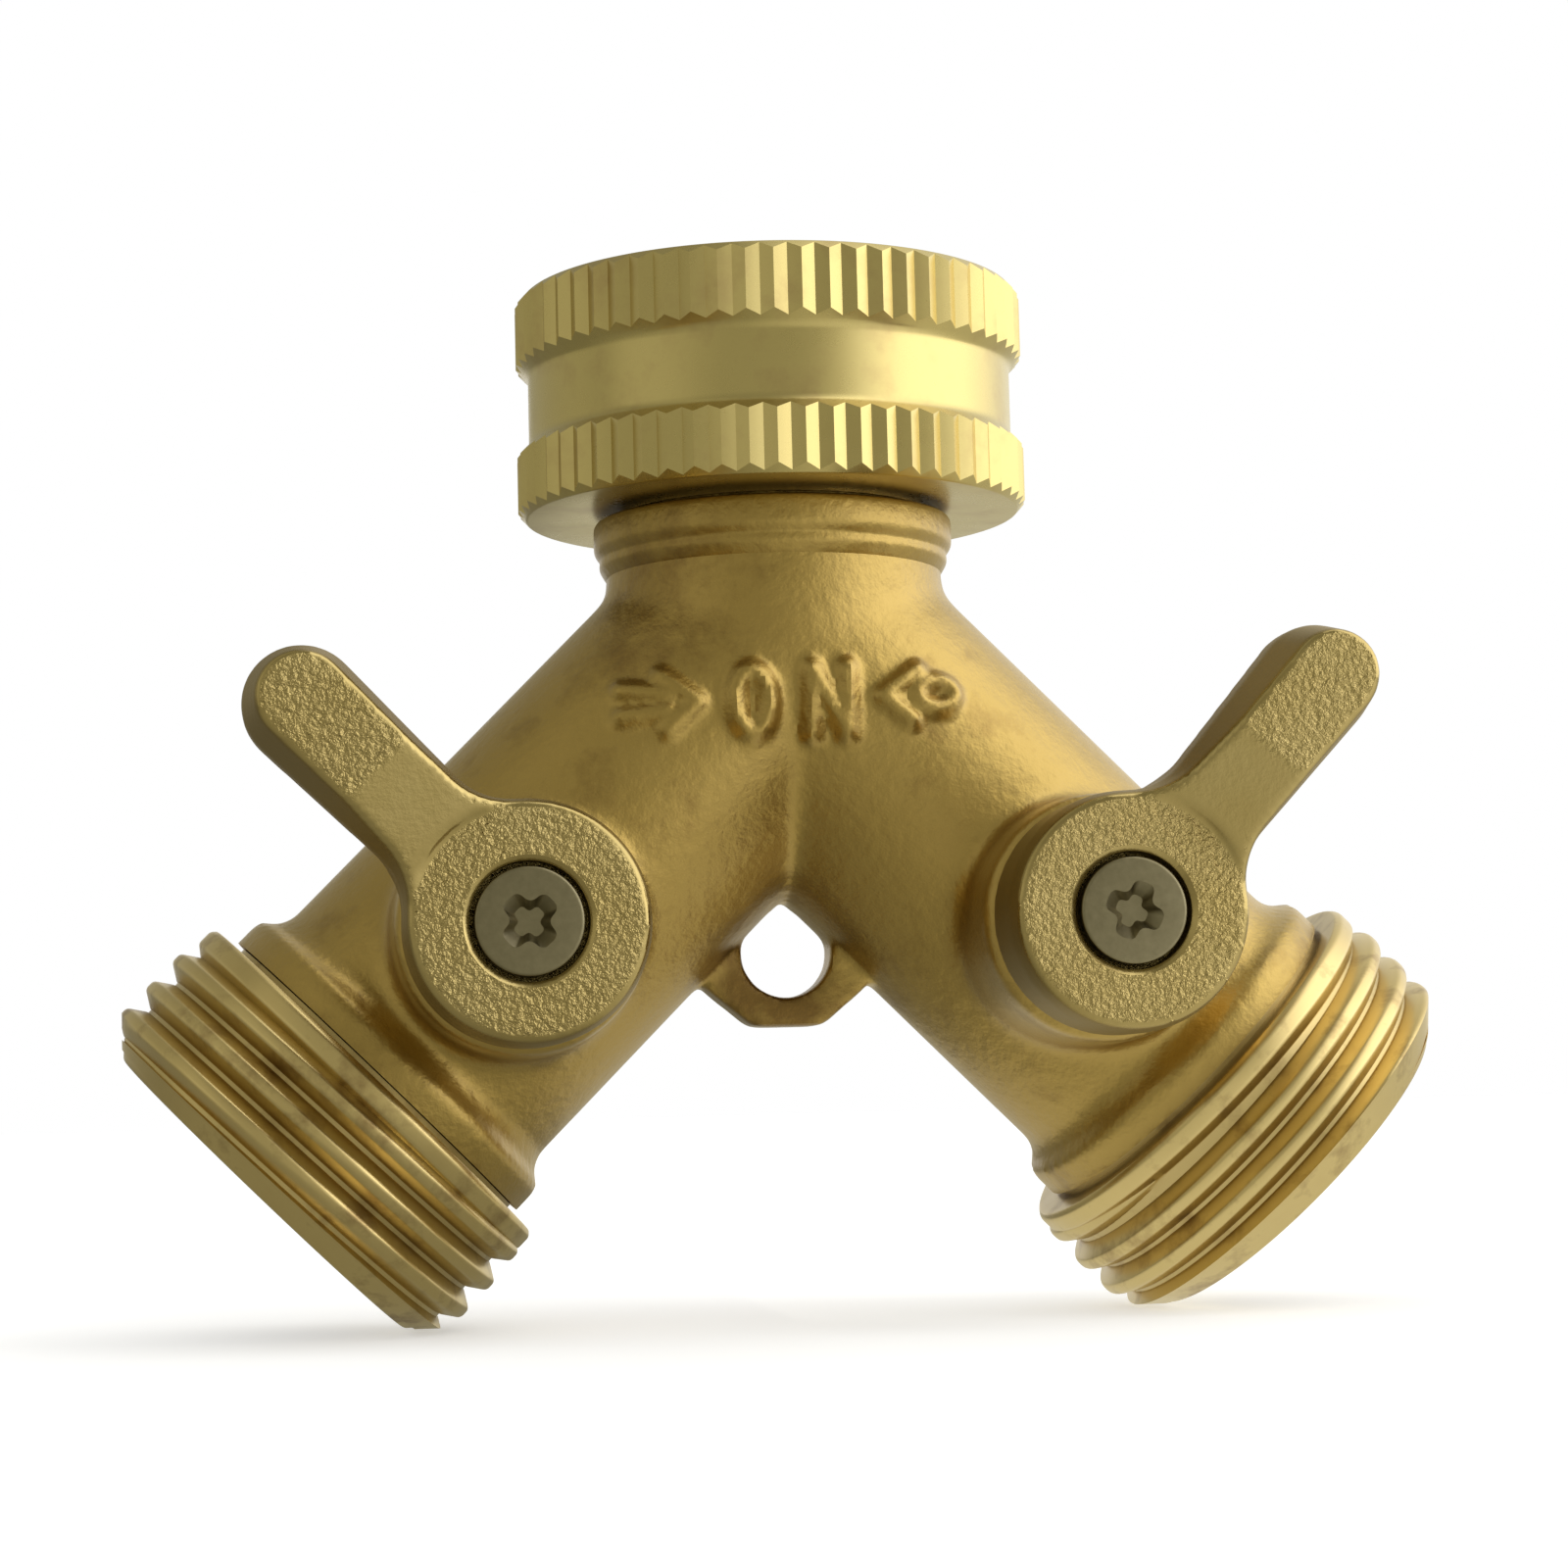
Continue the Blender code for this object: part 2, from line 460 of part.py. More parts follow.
def valve(side):
    """The inner works of one leg's ball valve."""
    place = lever_place(side)
    add_object(f"{side}_inner_seat", seat("inner_seat", 1.0), leg_place(side), PARTS, PTFE)
    add_object(f"{side}_outer_seat", seat("outer_seat", -1.0), leg_place(side), PARTS, PTFE)

    shape = bmesh.new()
    bmesh.ops.create_uvsphere(shape, u_segments=COARSE, v_segments=10, radius=BALL_RADIUS)
    ball = add_object(f"{side}_ball", mesh_from("ball", shape), place, PARTS, CHROME)
    port = [(0.0, 2.0 * BALL_RADIUS), (PORT_RADIUS, 2.0 * BALL_RADIUS),
            (PORT_RADIUS, -2.0 * BALL_RADIUS), (0.0, -2.0 * BALL_RADIUS)]
    across = place @ Matrix.Rotation(math.radians(90), 4, "Y")
    combine(ball, "DIFFERENCE", f"port_{side}", turned("port", port, COARSE), across)
    slot = (TANG_WIDTH + 2.0 * CLEARANCE, 3.0 * BALL_RADIUS, BALL_RADIUS)
    slot = block("slot", slot, (0.0, 0.0, SLOT_FLOOR + BALL_RADIUS / 2.0))
    combine(ball, "DIFFERENCE", f"slot_{side}", slot, place)

    foot = BALL_RADIUS + 0.7 * MM
    groove = RING_SECTION + CLEARANCE
    neck_radius = STEM_BORE - 2.0 * groove
    low = POCKET_TOP + 0.9 * MM + groove
    high = BOSS_TOP - 0.7 * MM - groove
    outline = [(0.0, foot), (STEM_FLANGE, foot), (STEM_FLANGE, STEM_FLANGE_TOP),
               (STEM_RADIUS, STEM_FLANGE_TOP)]
    for height in (low, high):
        outline += [(STEM_RADIUS, height - groove), (neck_radius, height - groove),
                    (neck_radius, height + groove), (STEM_RADIUS, height + groove)]
    outline += [(STEM_RADIUS, HUB_BASE), (0.0, HUB_BASE)]
    stem = add_object(f"{side}_stem", turned("stem", outline, COARSE), place, PARTS, TURNED_BRASS)
    tang_low = SLOT_FLOOR + CLEARANCE
    tang_high = foot + 0.5 * MM
    tang = (TANG_WIDTH, TANG_LENGTH, tang_high - tang_low)
    tang = block("tang", tang, (0.0, 0.0, (tang_low + tang_high) / 2.0))
    combine(stem, "UNION", f"tang_{side}", tang, place)
    drive = (STEM_SQUARE, STEM_SQUARE, SQUARE_TOP - HUB_BASE + MM)
    drive = block("drive", drive, (0.0, 0.0, (SQUARE_TOP + HUB_BASE - MM) / 2.0))
    combine(stem, "UNION", f"drive_{side}", drive, place)
    tapped = SCREW_SHANK + CLEARANCE
    hole = [(0.0, SQUARE_TOP + MM), (tapped, SQUARE_TOP + MM), (tapped, SCREW_TIP - CLEARANCE),
            (0.0, SCREW_TIP - CLEARANCE)]
    combine(stem, "DIFFERENCE", f"tapped_{side}", turned("tapped", hole, 16), place)

    for name, height in (("lower", low), ("upper", high)):
        centre = (STEM_BORE + neck_radius) / 2.0
        section = arc((centre, height), RING_SECTION, 0.0, 2.0 * math.pi, 6)[:-1]
        section = turned("o_ring", section[::-1], COARSE)
        add_object(f"{side}_{name}_o_ring", section, place, PARTS, RUBBER)
    thrust = [(STEM_BORE, GASKET_BASE + GASKET_THICKNESS), (STEM_FLANGE, GASKET_BASE + GASKET_THICKNESS),
              (STEM_FLANGE, GASKET_BASE), (STEM_BORE, GASKET_BASE)]
    add_object(f"{side}_thrust_washer", turned("thrust_washer", thrust, COARSE), place, PARTS, PTFE)


def handle(side):
    """One lever handle: a round hub, a ramp and a raised thumb pad."""
    place = lever_place(side)
    half = LEVER_WIDTH / 2.0
    rise = LEVER_WAIST / 2.0 + LEVER_FILLET
    run = math.sqrt((HUB_RADIUS + LEVER_FILLET) ** 2 - rise ** 2)
    meet = math.atan2(rise, run)
    tip = LEVER_REACH - half
    outline = arc((0.0, 0.0), HUB_RADIUS, meet, 2.0 * math.pi - meet, 22)
    outline += arc((run, -rise), LEVER_FILLET, math.pi - meet, math.pi / 2.0, 4)[1:]
    outline += arc((tip, 0.0), half, -math.pi / 2.0, math.pi / 2.0, 10)
    outline += arc((run, rise), LEVER_FILLET, -math.pi / 2.0, meet - math.pi, 4)[:-1]
    plan = prism("handle", outline, HUB_BASE - MM, PAD_FACE + 2.0 * PAD_TILT)
    made = add_object(f"{side}_handle", plan, place, PARTS, HANDLE_BRASS)
    far = 2.0 * LEVER_REACH
    slope = PAD_TILT / (LEVER_REACH - RAMP_END)
    profile = [(-far, HUB_BASE), (HUB_RADIUS + 0.6 * MM, HUB_BASE),
               (HUB_RADIUS + 1.8 * MM, LEVER_UNDERSIDE), (far, LEVER_UNDERSIDE),
               (far, PAD_FACE + slope * (far - RAMP_END)), (RAMP_END, PAD_FACE),
               (RAMP_START, HUB_FACE), (-far, HUB_FACE)]
    sideways = place @ basis(Vector((1.0, 0.0, 0.0)), FRONT, Vector())
    profile = prism("side_view", profile, -2.0 * HUB_RADIUS, 2.0 * HUB_RADIUS)
    combine(made, "INTERSECT", f"side_view_{side}", profile, sideways)
    socket = STEM_SQUARE + 2.0 * CLEARANCE
    socket = (socket, socket, SOCKET_TOP - HUB_BASE + MM)
    socket = block("socket", socket, (0.0, 0.0, (SOCKET_TOP + HUB_BASE - MM) / 2.0))
    combine(made, "DIFFERENCE", f"socket_{side}", socket, place)
    sunk = SCREW_HEAD + CLEARANCE
    through = SCREW_SHANK + CLEARANCE
    hole = [(0.0, HUB_FACE + MM), (sunk, HUB_FACE + MM), (sunk, SEAT_FLOOR), (through, SEAT_FLOOR),
            (through, HUB_BASE), (0.0, HUB_BASE)]
    combine(made, "DIFFERENCE", f"screw_hole_{side}", turned("screw_hole", hole, COARSE), place)
    play = CLEARANCE / STOP_RADIUS
    reach = (TRAVEL + STOP_SPAN) / 2.0 + play
    wide = STOP_WIDTH / 2.0 + CLEARANCE
    slot = sector(STOP_RADIUS - wide, STOP_RADIUS + wide, math.pi - reach, math.pi + reach, 10)
    slot = prism("stop_slot", slot, HUB_BASE - MM, BOSS_TOP + STOP_HEIGHT + CLEARANCE)
    combine(made, "DIFFERENCE", f"stop_slot_{side}", slot, place)

    bolt = [(0.0, HUB_FACE), (SCREW_HEAD - 0.3 * MM, HUB_FACE), (SCREW_HEAD, HUB_FACE - 0.3 * MM),
            (SCREW_HEAD, HEAD_BASE), (SCREW_SHANK, HEAD_BASE), (SCREW_SHANK, SCREW_TIP), (0.0, SCREW_TIP)]
    screw = add_object(f"{side}_handle_screw", turned("handle_screw", bolt, COARSE), place, PARTS, STEEL)
    for number, size in enumerate(((3.6, 1.0), (1.0, 3.6))):
        bar = block("recess", (size[0] * MM, size[1] * MM, 2.0 * MM), (0.0, 0.0, HUB_FACE + 0.1 * MM))
        combine(screw, "DIFFERENCE", f"recess_{side}_{number}", bar, place)


def outlet(side):
    """The separate hose end that screws into a leg and holds the seats in."""
    core = MALE_MAJOR - THREAD_DEPTH
    start = LEG_LENGTH + CLEARANCE
    end = start + OUTLET_LENGTH
    spigot_end = SEAT_OUTER_BACK + CLEARANCE
    outline = [(SPIGOT_RADIUS, spigot_end), (SPIGOT_RADIUS, start), (core, start),
               (core, end - 0.5 * MM), (core - 0.5 * MM, end), (OUTLET_BORE, end),
               (OUTLET_BORE, start), (SEAT_BORE, start - BORE_TAPER), (SEAT_BORE, spigot_end)]
    made = turned("outlet", outline, FINE)
    made = add_object(f"{side}_outlet", made, leg_place(side), PARTS, TURNED_BRASS)
    first = start + OUTLET_LAND
    turns = (end - 0.8 * MM - first) / THREAD_PITCH
    male = [(core - ROOTED, first - FLANK), (MALE_MAJOR, first - CREST),
            (MALE_MAJOR, first + CREST), (core - ROOTED, first + FLANK)]
    male = thread("male_thread", male, THREAD_PITCH, turns, core - ROOTED)
    combine(made, "UNION", f"male_thread_{side}", male, leg_place(side))


for side in SIDES:
    valve(side)
    handle(side)
    outlet(side)
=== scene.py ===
# %% [markdown]
# # A brass hose splitter
# The splitter hangs under a garden tap. A knurled nut turns freely on the neck of a cast Y,
# and each leg of the Y carries a quarter-turn ball valve, a lever and a screwed-in hose end.
# The CAD frame gives every place and size. This lesson models each piece again with the
# rounded edges, teeth and threads of the real one, and gives it its finish.

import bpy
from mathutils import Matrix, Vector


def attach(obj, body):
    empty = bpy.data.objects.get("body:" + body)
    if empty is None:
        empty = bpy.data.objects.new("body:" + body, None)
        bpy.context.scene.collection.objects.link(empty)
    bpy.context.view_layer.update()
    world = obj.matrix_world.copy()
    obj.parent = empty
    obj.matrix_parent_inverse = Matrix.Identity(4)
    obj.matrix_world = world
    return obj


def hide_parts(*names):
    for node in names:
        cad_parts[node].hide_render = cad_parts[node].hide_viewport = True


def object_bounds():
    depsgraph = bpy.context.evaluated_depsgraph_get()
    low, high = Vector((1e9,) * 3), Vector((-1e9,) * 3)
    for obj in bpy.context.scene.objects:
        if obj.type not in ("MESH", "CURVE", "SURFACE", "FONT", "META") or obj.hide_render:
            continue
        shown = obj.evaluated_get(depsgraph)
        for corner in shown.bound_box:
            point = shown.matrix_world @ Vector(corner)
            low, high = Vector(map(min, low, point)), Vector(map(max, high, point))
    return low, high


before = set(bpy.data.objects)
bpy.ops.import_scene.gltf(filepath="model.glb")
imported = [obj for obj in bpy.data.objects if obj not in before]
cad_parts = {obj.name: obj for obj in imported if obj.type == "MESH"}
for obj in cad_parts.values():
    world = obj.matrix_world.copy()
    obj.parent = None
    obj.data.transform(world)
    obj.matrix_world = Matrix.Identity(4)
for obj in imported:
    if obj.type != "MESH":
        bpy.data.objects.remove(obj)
cad_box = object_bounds()

# %% Millimetres and the two sides
import math

import bpy
from mathutils import Matrix, Vector

MM = 0.001
SIDES = {"left": -1.0, "right": 1.0}
FRONT = Vector((0.0, -1.0, 0.0))
Y_DROP = 22.7 * MM
Y_CENTRE = Vector((0.0, 0.0, -Y_DROP))
LEG_ANGLE = math.radians(45)


def axes(x_axis, z_axis, origin):
    """A placement from its X and Z directions."""
    facing = Matrix((x_axis, z_axis.cross(x_axis), z_axis)).transposed()
    return Matrix.Translation(origin) @ facing.to_4x4()


def leg_axis(side):
    """The way that water runs down a leg."""
    return Vector((SIDES[side] * math.sin(LEG_ANGLE), 0.0, -math.cos(LEG_ANGLE)))


# %% A place for every piece
# Z runs up the neck, down a leg or out of a valve, and a lever points along X.
VALVE_STATION = 23.6 * MM
PART_OPEN = {"left": 0.0, "right": math.radians(3.6)}
ON_INLET = Matrix.Translation(Y_CENTRE)
FACING = axes(Vector((1.0, 0.0, 0.0)), FRONT, Y_CENTRE)
ON_LEG = {side: axes(FRONT, leg_axis(side), Y_CENTRE) for side in SIDES}
ON_VALVE = {}
ON_LEVER = {}
for side, hand in SIDES.items():
    closed = Vector((hand * math.cos(LEG_ANGLE), 0.0, math.sin(LEG_ANGLE)))
    ON_VALVE[side] = axes(closed, FRONT, Y_CENTRE + leg_axis(side) * VALVE_STATION)
    ON_LEVER[side] = ON_VALVE[side] @ Matrix.Rotation(hand * PART_OPEN[side], 4, "Z")
    print(side, "valve at", tuple(round(v / MM, 1) for v in ON_VALVE[side].translation), "mm")

# %% [markdown]
# ## Drawing and turning
# Nearly every piece here came off a lathe, so the first tool is a lathe too. A plane is merged
# to a single corner, the corner is extruded from point to point along the outline, and Spin
# turns the outline about its axis. A Screw modifier would do as well, but Spin leaves real
# faces at once. Corners are rounded in the outline, where one number rounds a whole rim.

# %% Clean hands
def put_down():
    """Leave edit mode with nothing selected: loading the frame leaves its nodes selected."""
    if bpy.context.object and bpy.context.object.mode == "EDIT":
        bpy.ops.object.mode_set(mode="OBJECT")
    bpy.ops.object.select_all(action="DESELECT")


def take(piece):
    """Select one piece and nothing else."""
    put_down()
    piece.select_set(True)
    bpy.context.view_layer.objects.active = piece


def open_up(piece):
    """Take a piece into edit mode with all of it selected."""
    take(piece)
    bpy.ops.object.mode_set(mode="EDIT")
    bpy.ops.mesh.select_all(action="SELECT")


def pick(piece, wanted):
    """In edit mode, select the corners with these numbers and no others."""
    bpy.ops.mesh.select_all(action="DESELECT")
    bpy.ops.object.mode_set(mode="OBJECT")
    for vert in piece.data.vertices:
        vert.select = vert.index in wanted
    bpy.ops.object.mode_set(mode="EDIT")


# %% An outline with rounded corners
EDGE_SHARE = 0.45  # a rounding takes up no more than this share of an edge


def soften(points, radius, steps=4):
    """Round each corner of an outline: radius is one number, or one for each corner."""
    radii = [radius] * len(points) if isinstance(radius, float) else radius
    made = []
    for i, corner in enumerate(points):
        corner = Vector(corner)
        back = Vector(points[i - 1]) - corner
        ahead = Vector(points[(i + 1) % len(points)]) - corner
        reach = min(radii[i], EDGE_SHARE * back.length, EDGE_SHARE * ahead.length)
        if reach <= 0.0:
            made.append(tuple(corner))
            continue
        start = corner + back.normalized() * reach
        stop = corner + ahead.normalized() * reach
        for k in range(steps + 1):
            t = k / steps
            made.append(tuple(start * (1 - t) ** 2 + corner * 2 * t * (1 - t) + stop * t ** 2))
    return made


def rounded(corners, steps=4):
    """Round an outline of (across, up, radius) corners."""
    return soften([corner[:2] for corner in corners], [corner[2] for corner in corners], steps)


# %% Round and straight stretches
def arc(centre, radius, start, stop, count):
    """Points along an arc, ends included."""
    angles = [start + (stop - start) * i / count for i in range(count + 1)]
    return [(centre[0] + radius * math.cos(a), centre[1] + radius * math.sin(a)) for a in angles]


def sector(radius, half_width, middle, half_angle, count):
    """A curved bar: part of a ring about the origin."""
    outer = arc((0, 0), radius + half_width, middle - half_angle, middle + half_angle, count)
    return outer + arc((0, 0), radius - half_width, middle + half_angle, middle - half_angle, count)


def rod(radius, start, stop):
    """The outline of a plain round bar, from its axis out and back to it."""
    return [(0, start), (radius, start), (radius, stop), (0, stop)]


# %% Drawing a wire
SLIVER = 0.002 * MM  # corners closer than this are one


def draw(name, points, closed=True):
    """Extrude one corner from point to point."""
    put_down()
    bpy.ops.mesh.primitive_plane_add(size=MM)
    piece = bpy.context.object
    piece.name = name
    open_up(piece)
    bpy.ops.mesh.merge(type="CENTER")
    bpy.ops.transform.translate(value=points[0])
    for here, there in zip(points, points[1:]):
        step = Vector(there) - Vector(here)
        bpy.ops.mesh.extrude_vertices_move(TRANSFORM_OT_translate={"value": step})
    if closed:
        pick(piece, (0, len(points) - 1))
        bpy.ops.mesh.edge_face_add()
    bpy.ops.mesh.select_all(action="SELECT")
    return piece


def close_up():
    """Merge doubles, turn the faces outwards and leave edit mode."""
    bpy.ops.mesh.select_all(action="SELECT")
    bpy.ops.mesh.remove_doubles(threshold=SLIVER)
    bpy.ops.mesh.normals_make_consistent(inside=False)
    put_down()


def settle(piece, place):
    """Put the piece's place into its mesh."""
    take(piece)
    piece.matrix_world = place
    bpy.ops.object.transform_apply(location=True, rotation=True, scale=True)
    return piece


# %% The lathe and the punch
def turn(name, outline, steps, place):
    """Turn a (radius, height) outline about Z, then put it in its place."""
    on_axis = min(radius for radius, _ in outline) <= 0.0
    piece = draw(name, [(radius, 0.0, height) for radius, height in outline], closed=not on_axis)
    bpy.ops.mesh.spin(steps=steps, angle=2.0 * math.pi, center=(0, 0, 0), axis=(0, 0, 1))
    close_up()
    return settle(piece, place)


def punch(name, outline, low, high, place, leaning=0.0, lean=0.0, shrink=1.0):
    """Fill a flat outline and draw it along Z: the last part can lean inwards or shrink."""
    piece = draw(name, [(x, y, low) for x, y in outline])
    bpy.ops.mesh.edge_face_add()
    bpy.ops.mesh.extrude_region_move(TRANSFORM_OT_translate={"value": (0, 0, high - leaning - low)})
    if leaning:
        if lean:
            bpy.ops.mesh.inset(thickness=lean, use_even_offset=True)
        else:
            bpy.ops.mesh.extrude_region_move()
            bpy.ops.transform.resize(value=(shrink, shrink, 1.0), center_override=(0, 0, 0))
        bpy.ops.transform.translate(value=(0, 0, leaning))
    close_up()
    return settle(piece, place)


# %% [markdown]
# ## Joining and cutting
# Holes could be drawn in the outlines and bridged by hand, but round holes that meet inside a
# casting are easier cut by other solids. The Manifold solver is quick and leaves closed solids
# closed. The slivers that cuts leave are cleared when a piece is handed over.

# %% Modifiers at work
def shape(piece, kind, **settings):
    """Add a modifier to a piece and apply it."""
    take(piece)
    step = piece.modifiers.new(kind.title(), kind)
    for name, value in settings.items():
        setattr(step, name, value)
    bpy.ops.object.modifier_apply(modifier=step.name)


def carve(piece, operation, tool):
    """Join a tool to a piece, cut it away, or keep what lies inside it."""
    shape(piece, "BOOLEAN", operation=operation, solver="MANIFOLD", object=tool)
    bpy.data.objects.remove(tool)


def gather(pieces):
    """Join pieces into the first one."""
    take(pieces[0])
    for piece in pieces[1:]:
        piece.select_set(True)
    bpy.ops.object.join()
    return pieces[0]


def cast(piece, voxel, passes):
    """Remesh a piece into one even skin and smooth it, so that its corners run together."""
    shape(piece, "REMESH", mode="VOXEL", voxel_size=voxel)
    shape(piece, "SMOOTH", factor=0.5, iterations=passes)
    print(piece.name, "skin", len(piece.data.polygons), "faces")


# %% Handing a piece over
CRISP = math.radians(32)  # edges that turn more than this stay sharp


def finish_piece(piece, body, slot, *nodes):
    """Clear the slivers that cuts leave, shade smooth with crisp edges, and place in the frame."""
    open_up(piece)
    bpy.ops.mesh.quads_convert_to_tris()
    bpy.ops.mesh.dissolve_degenerate(threshold=SLIVER)
    bpy.ops.object.mode_set(mode="OBJECT")
    bpy.ops.object.shade_smooth_by_angle(angle=CRISP)
    put_down()
    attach(piece, body)
    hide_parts(*nodes)
    print(piece.name, len(piece.data.polygons), "faces")
    return piece


# %% [markdown]
# ## The cast Y
# The body is one brass casting: a neck, two legs and a round boss for each valve stem, with
# soft fillets wherever two of them meet. Bevels on curved crossings are hard to make by hand,
# so the plain shapes are joined, remeshed into one even skin and smoothed, which flows a
# fillet into every corner. The flanges and the eye join later and get a lighter smoothing.

# %% Neck, legs and bosses in one skin
LEG_RADIUS = 10.2 * MM
LEG_LENGTH = 34.85 * MM
NECK_RADIUS = 10.3 * MM
NECK_TOP = 7 * MM
NECK_FOOT = -0.3 * MM
BOSS_RADIUS = 7.2 * MM
BOSS_DRAFT = 0.25 * MM
BOSS_FOOT = 4 * MM
BOSS_TOP = 15.7 * MM
OVERRUN = MM  # tools reach this far past what they cut
STEPS = 96
SMALL_STEPS = 72
neck = rod(NECK_RADIUS, NECK_TOP, NECK_FOOT)
leg = rod(LEG_RADIUS, -OVERRUN, LEG_LENGTH + OVERRUN)
boss = [(0, BOSS_FOOT), (BOSS_RADIUS + BOSS_DRAFT, BOSS_FOOT), (BOSS_RADIUS, BOSS_TOP), (0, BOSS_TOP)]
limbs = [turn("neck", neck, STEPS, ON_INLET)]
for side in SIDES:
    limbs.append(turn("leg", leg, STEPS, ON_LEG[side]))
    limbs.append(turn("boss", boss, SMALL_STEPS, ON_VALVE[side]))
body = gather(limbs)
body.name = "cast_body"
cast(body, voxel=0.4 * MM, passes=16)

# %% Flanges where the hose ends screw in
# FLARE is the fillet behind a flange: millimetres out from the leg and on from the flange.
FLANGE_LENGTH = 1.9 * MM
FLARE = [(-0.5, -2.6), (0.0, -1.3), (0.4, -0.5), (1.2, 0.1), (1.3, 0.5)]
LARGE_STEPS = 128
flange_start = LEG_LENGTH - FLANGE_LENGTH
flange = [(0, flange_start - 3 * MM)]
flange += [(LEG_RADIUS + out * MM, flange_start + on * MM) for out, on in FLARE]
flange_radius = flange[-1][0]
flange += [(flange_radius, LEG_LENGTH + OVERRUN), (0, LEG_LENGTH + OVERRUN)]
flanges = [turn("flange", flange, LARGE_STEPS, ON_LEG[side]) for side in SIDES]
print("flange radius", round(flange_radius / MM, 2), "mm")

# %% The hanging eye between the legs
# EYE_SHAPE is its outline as shares of the reach, from the bottom left round to the left.
EYE_BORE = 2.75 * MM
EYE_REACH = 4.5 * MM
EYE_DEPTH = 3.4 * MM
EYE_SHAPE = [(-0.47, -1.0), (0.47, -1.0), (1.13, -0.45), (0.7, 0.6), (-0.7, 0.6), (-1.13, -0.45)]
crotch = -LEG_RADIUS / math.sin(LEG_ANGLE)
eye_centre = crotch - 1.2 * EYE_BORE
loop = [(x * EYE_REACH, eye_centre + y * EYE_REACH) for x, y in EYE_SHAPE]
eye = punch("eye", soften(loop, 0.5 * MM, 3), -EYE_DEPTH / 2, EYE_DEPTH / 2, FACING)
hole = arc((0, eye_centre), EYE_BORE, 0.0, 2.0 * math.pi, 40)[:-1]
carve(eye, "DIFFERENCE", punch("eye_hole", hole, -EYE_DEPTH, EYE_DEPTH, FACING))
print("eye", len(eye.data.polygons), "faces")

# %% One casting
gather([body, *flanges, eye])
cast(body, voxel=0.28 * MM, passes=8)

# %% [markdown]
# ## The raised word
# ON stands on the front with an arrow on each side: turned to it, a lever is open. The real
# letters are part of the casting, worn to soft ridges. Joined prisms would keep steep walls, so
# the strokes are painted on the skin as weights that fade to their sides, and a Displace
# modifier pushes the skin out by the weight.

# %% Strokes of the word, in millimetres from the Y's centre
FAINT = 0.72  # the left-hand arrow is worn lower


def oval(across, up, half_width, half_height):
    """A closed oval stroke."""
    ring = arc((0, 0), 1.0, 0.0, 2 * math.pi, 32)
    return [(across + half_width * x, up + half_height * y) for x, y in ring]


STROKES = [(oval(-2.83, -3.45, 0.98, 1.8), 1.0),  # O
           ([(0.75, -5.35), (0.75, -1.55), (2.8, -5.35), (2.8, -1.55)], 1.0),  # N
           ([(7.0, -1.7), (4.9, -3.25), (6.6, -4.7)], 1.0),  # right-hand arrow
           (oval(8.05, -3.2, 1.15, 0.8), 1.0),  # the loop behind it
           ([(-8.0, -1.9), (-6.0, -3.45), (-7.8, -5.1)], FAINT),  # left-hand arrow
           ([(-10.3, -2.7), (-7.6, -3.0)], FAINT),  # both lines of its shaft
           ([(-10.3, -4.3), (-7.6, -4.0)], FAINT)]
print("word of", len(STROKES), "strokes")

# %% How far a place stands out
STROKE = 1.0  # how far to its sides a stroke fades


def stroke_weight(across, up):
    """1 on a stroke, fading to 0 beside it."""
    here = Vector((across, up))
    weight = 0.0
    for points, strength in STROKES:
        for start, stop in zip(points, points[1:]):
            start, along = Vector(start), Vector(stop) - Vector(start)
            share = min(1.0, max(0.0, (here - start).dot(along) / along.length_squared))
            away = (here - start - along * share).length
            if away < STROKE:
                weight = max(weight, strength * (0.5 + 0.5 * math.cos(math.pi * away / STROKE)))
    return weight


# %% Pushing the strokes out
RISE = 0.76 * MM
WORD_BACK = -5 * MM
WORD_HALF_WIDTH = 12
WORD_FOOT = -7
word = body.vertex_groups.new(name="word")
raised = 0
for vert in body.data.vertices:
    across, up = vert.co.x / MM, (vert.co.z + Y_DROP) / MM
    if vert.co.y < WORD_BACK and abs(across) < WORD_HALF_WIDTH and WORD_FOOT < up < 0:
        weight = stroke_weight(across, up)
        if weight > 0.0:
            word.add([vert.index], weight, "REPLACE")
            raised += 1
shape(body, "DISPLACE", vertex_group="word", direction="NORMAL", strength=RISE, mid_level=0.0)
shape(body, "SMOOTH", factor=0.5, iterations=3)
body.vertex_groups.clear()
print("word raised at", raised, "corners of the skin")

# %% [markdown]
# ## The machined ends and the bores
# The ends of the legs and the part of the neck that carries the nut were cut on a lathe after
# casting, so they stay crisp: the ends are sliced off flat, and the neck is turned on its own
# and joined to the skin. All bores are joined to one hollow first and cut out together,
# because a cut that ends on another cut's face is fragile.

# %% Faced ends
for side in SIDES:
    open_up(body)
    seam = Y_CENTRE + leg_axis(side) * LEG_LENGTH
    bpy.ops.mesh.bisect(plane_co=seam, plane_no=leg_axis(side), use_fill=True, clear_outer=True)
    put_down()
    print(side, "leg ends at", tuple(round(v / MM, 1) for v in seam), "mm")

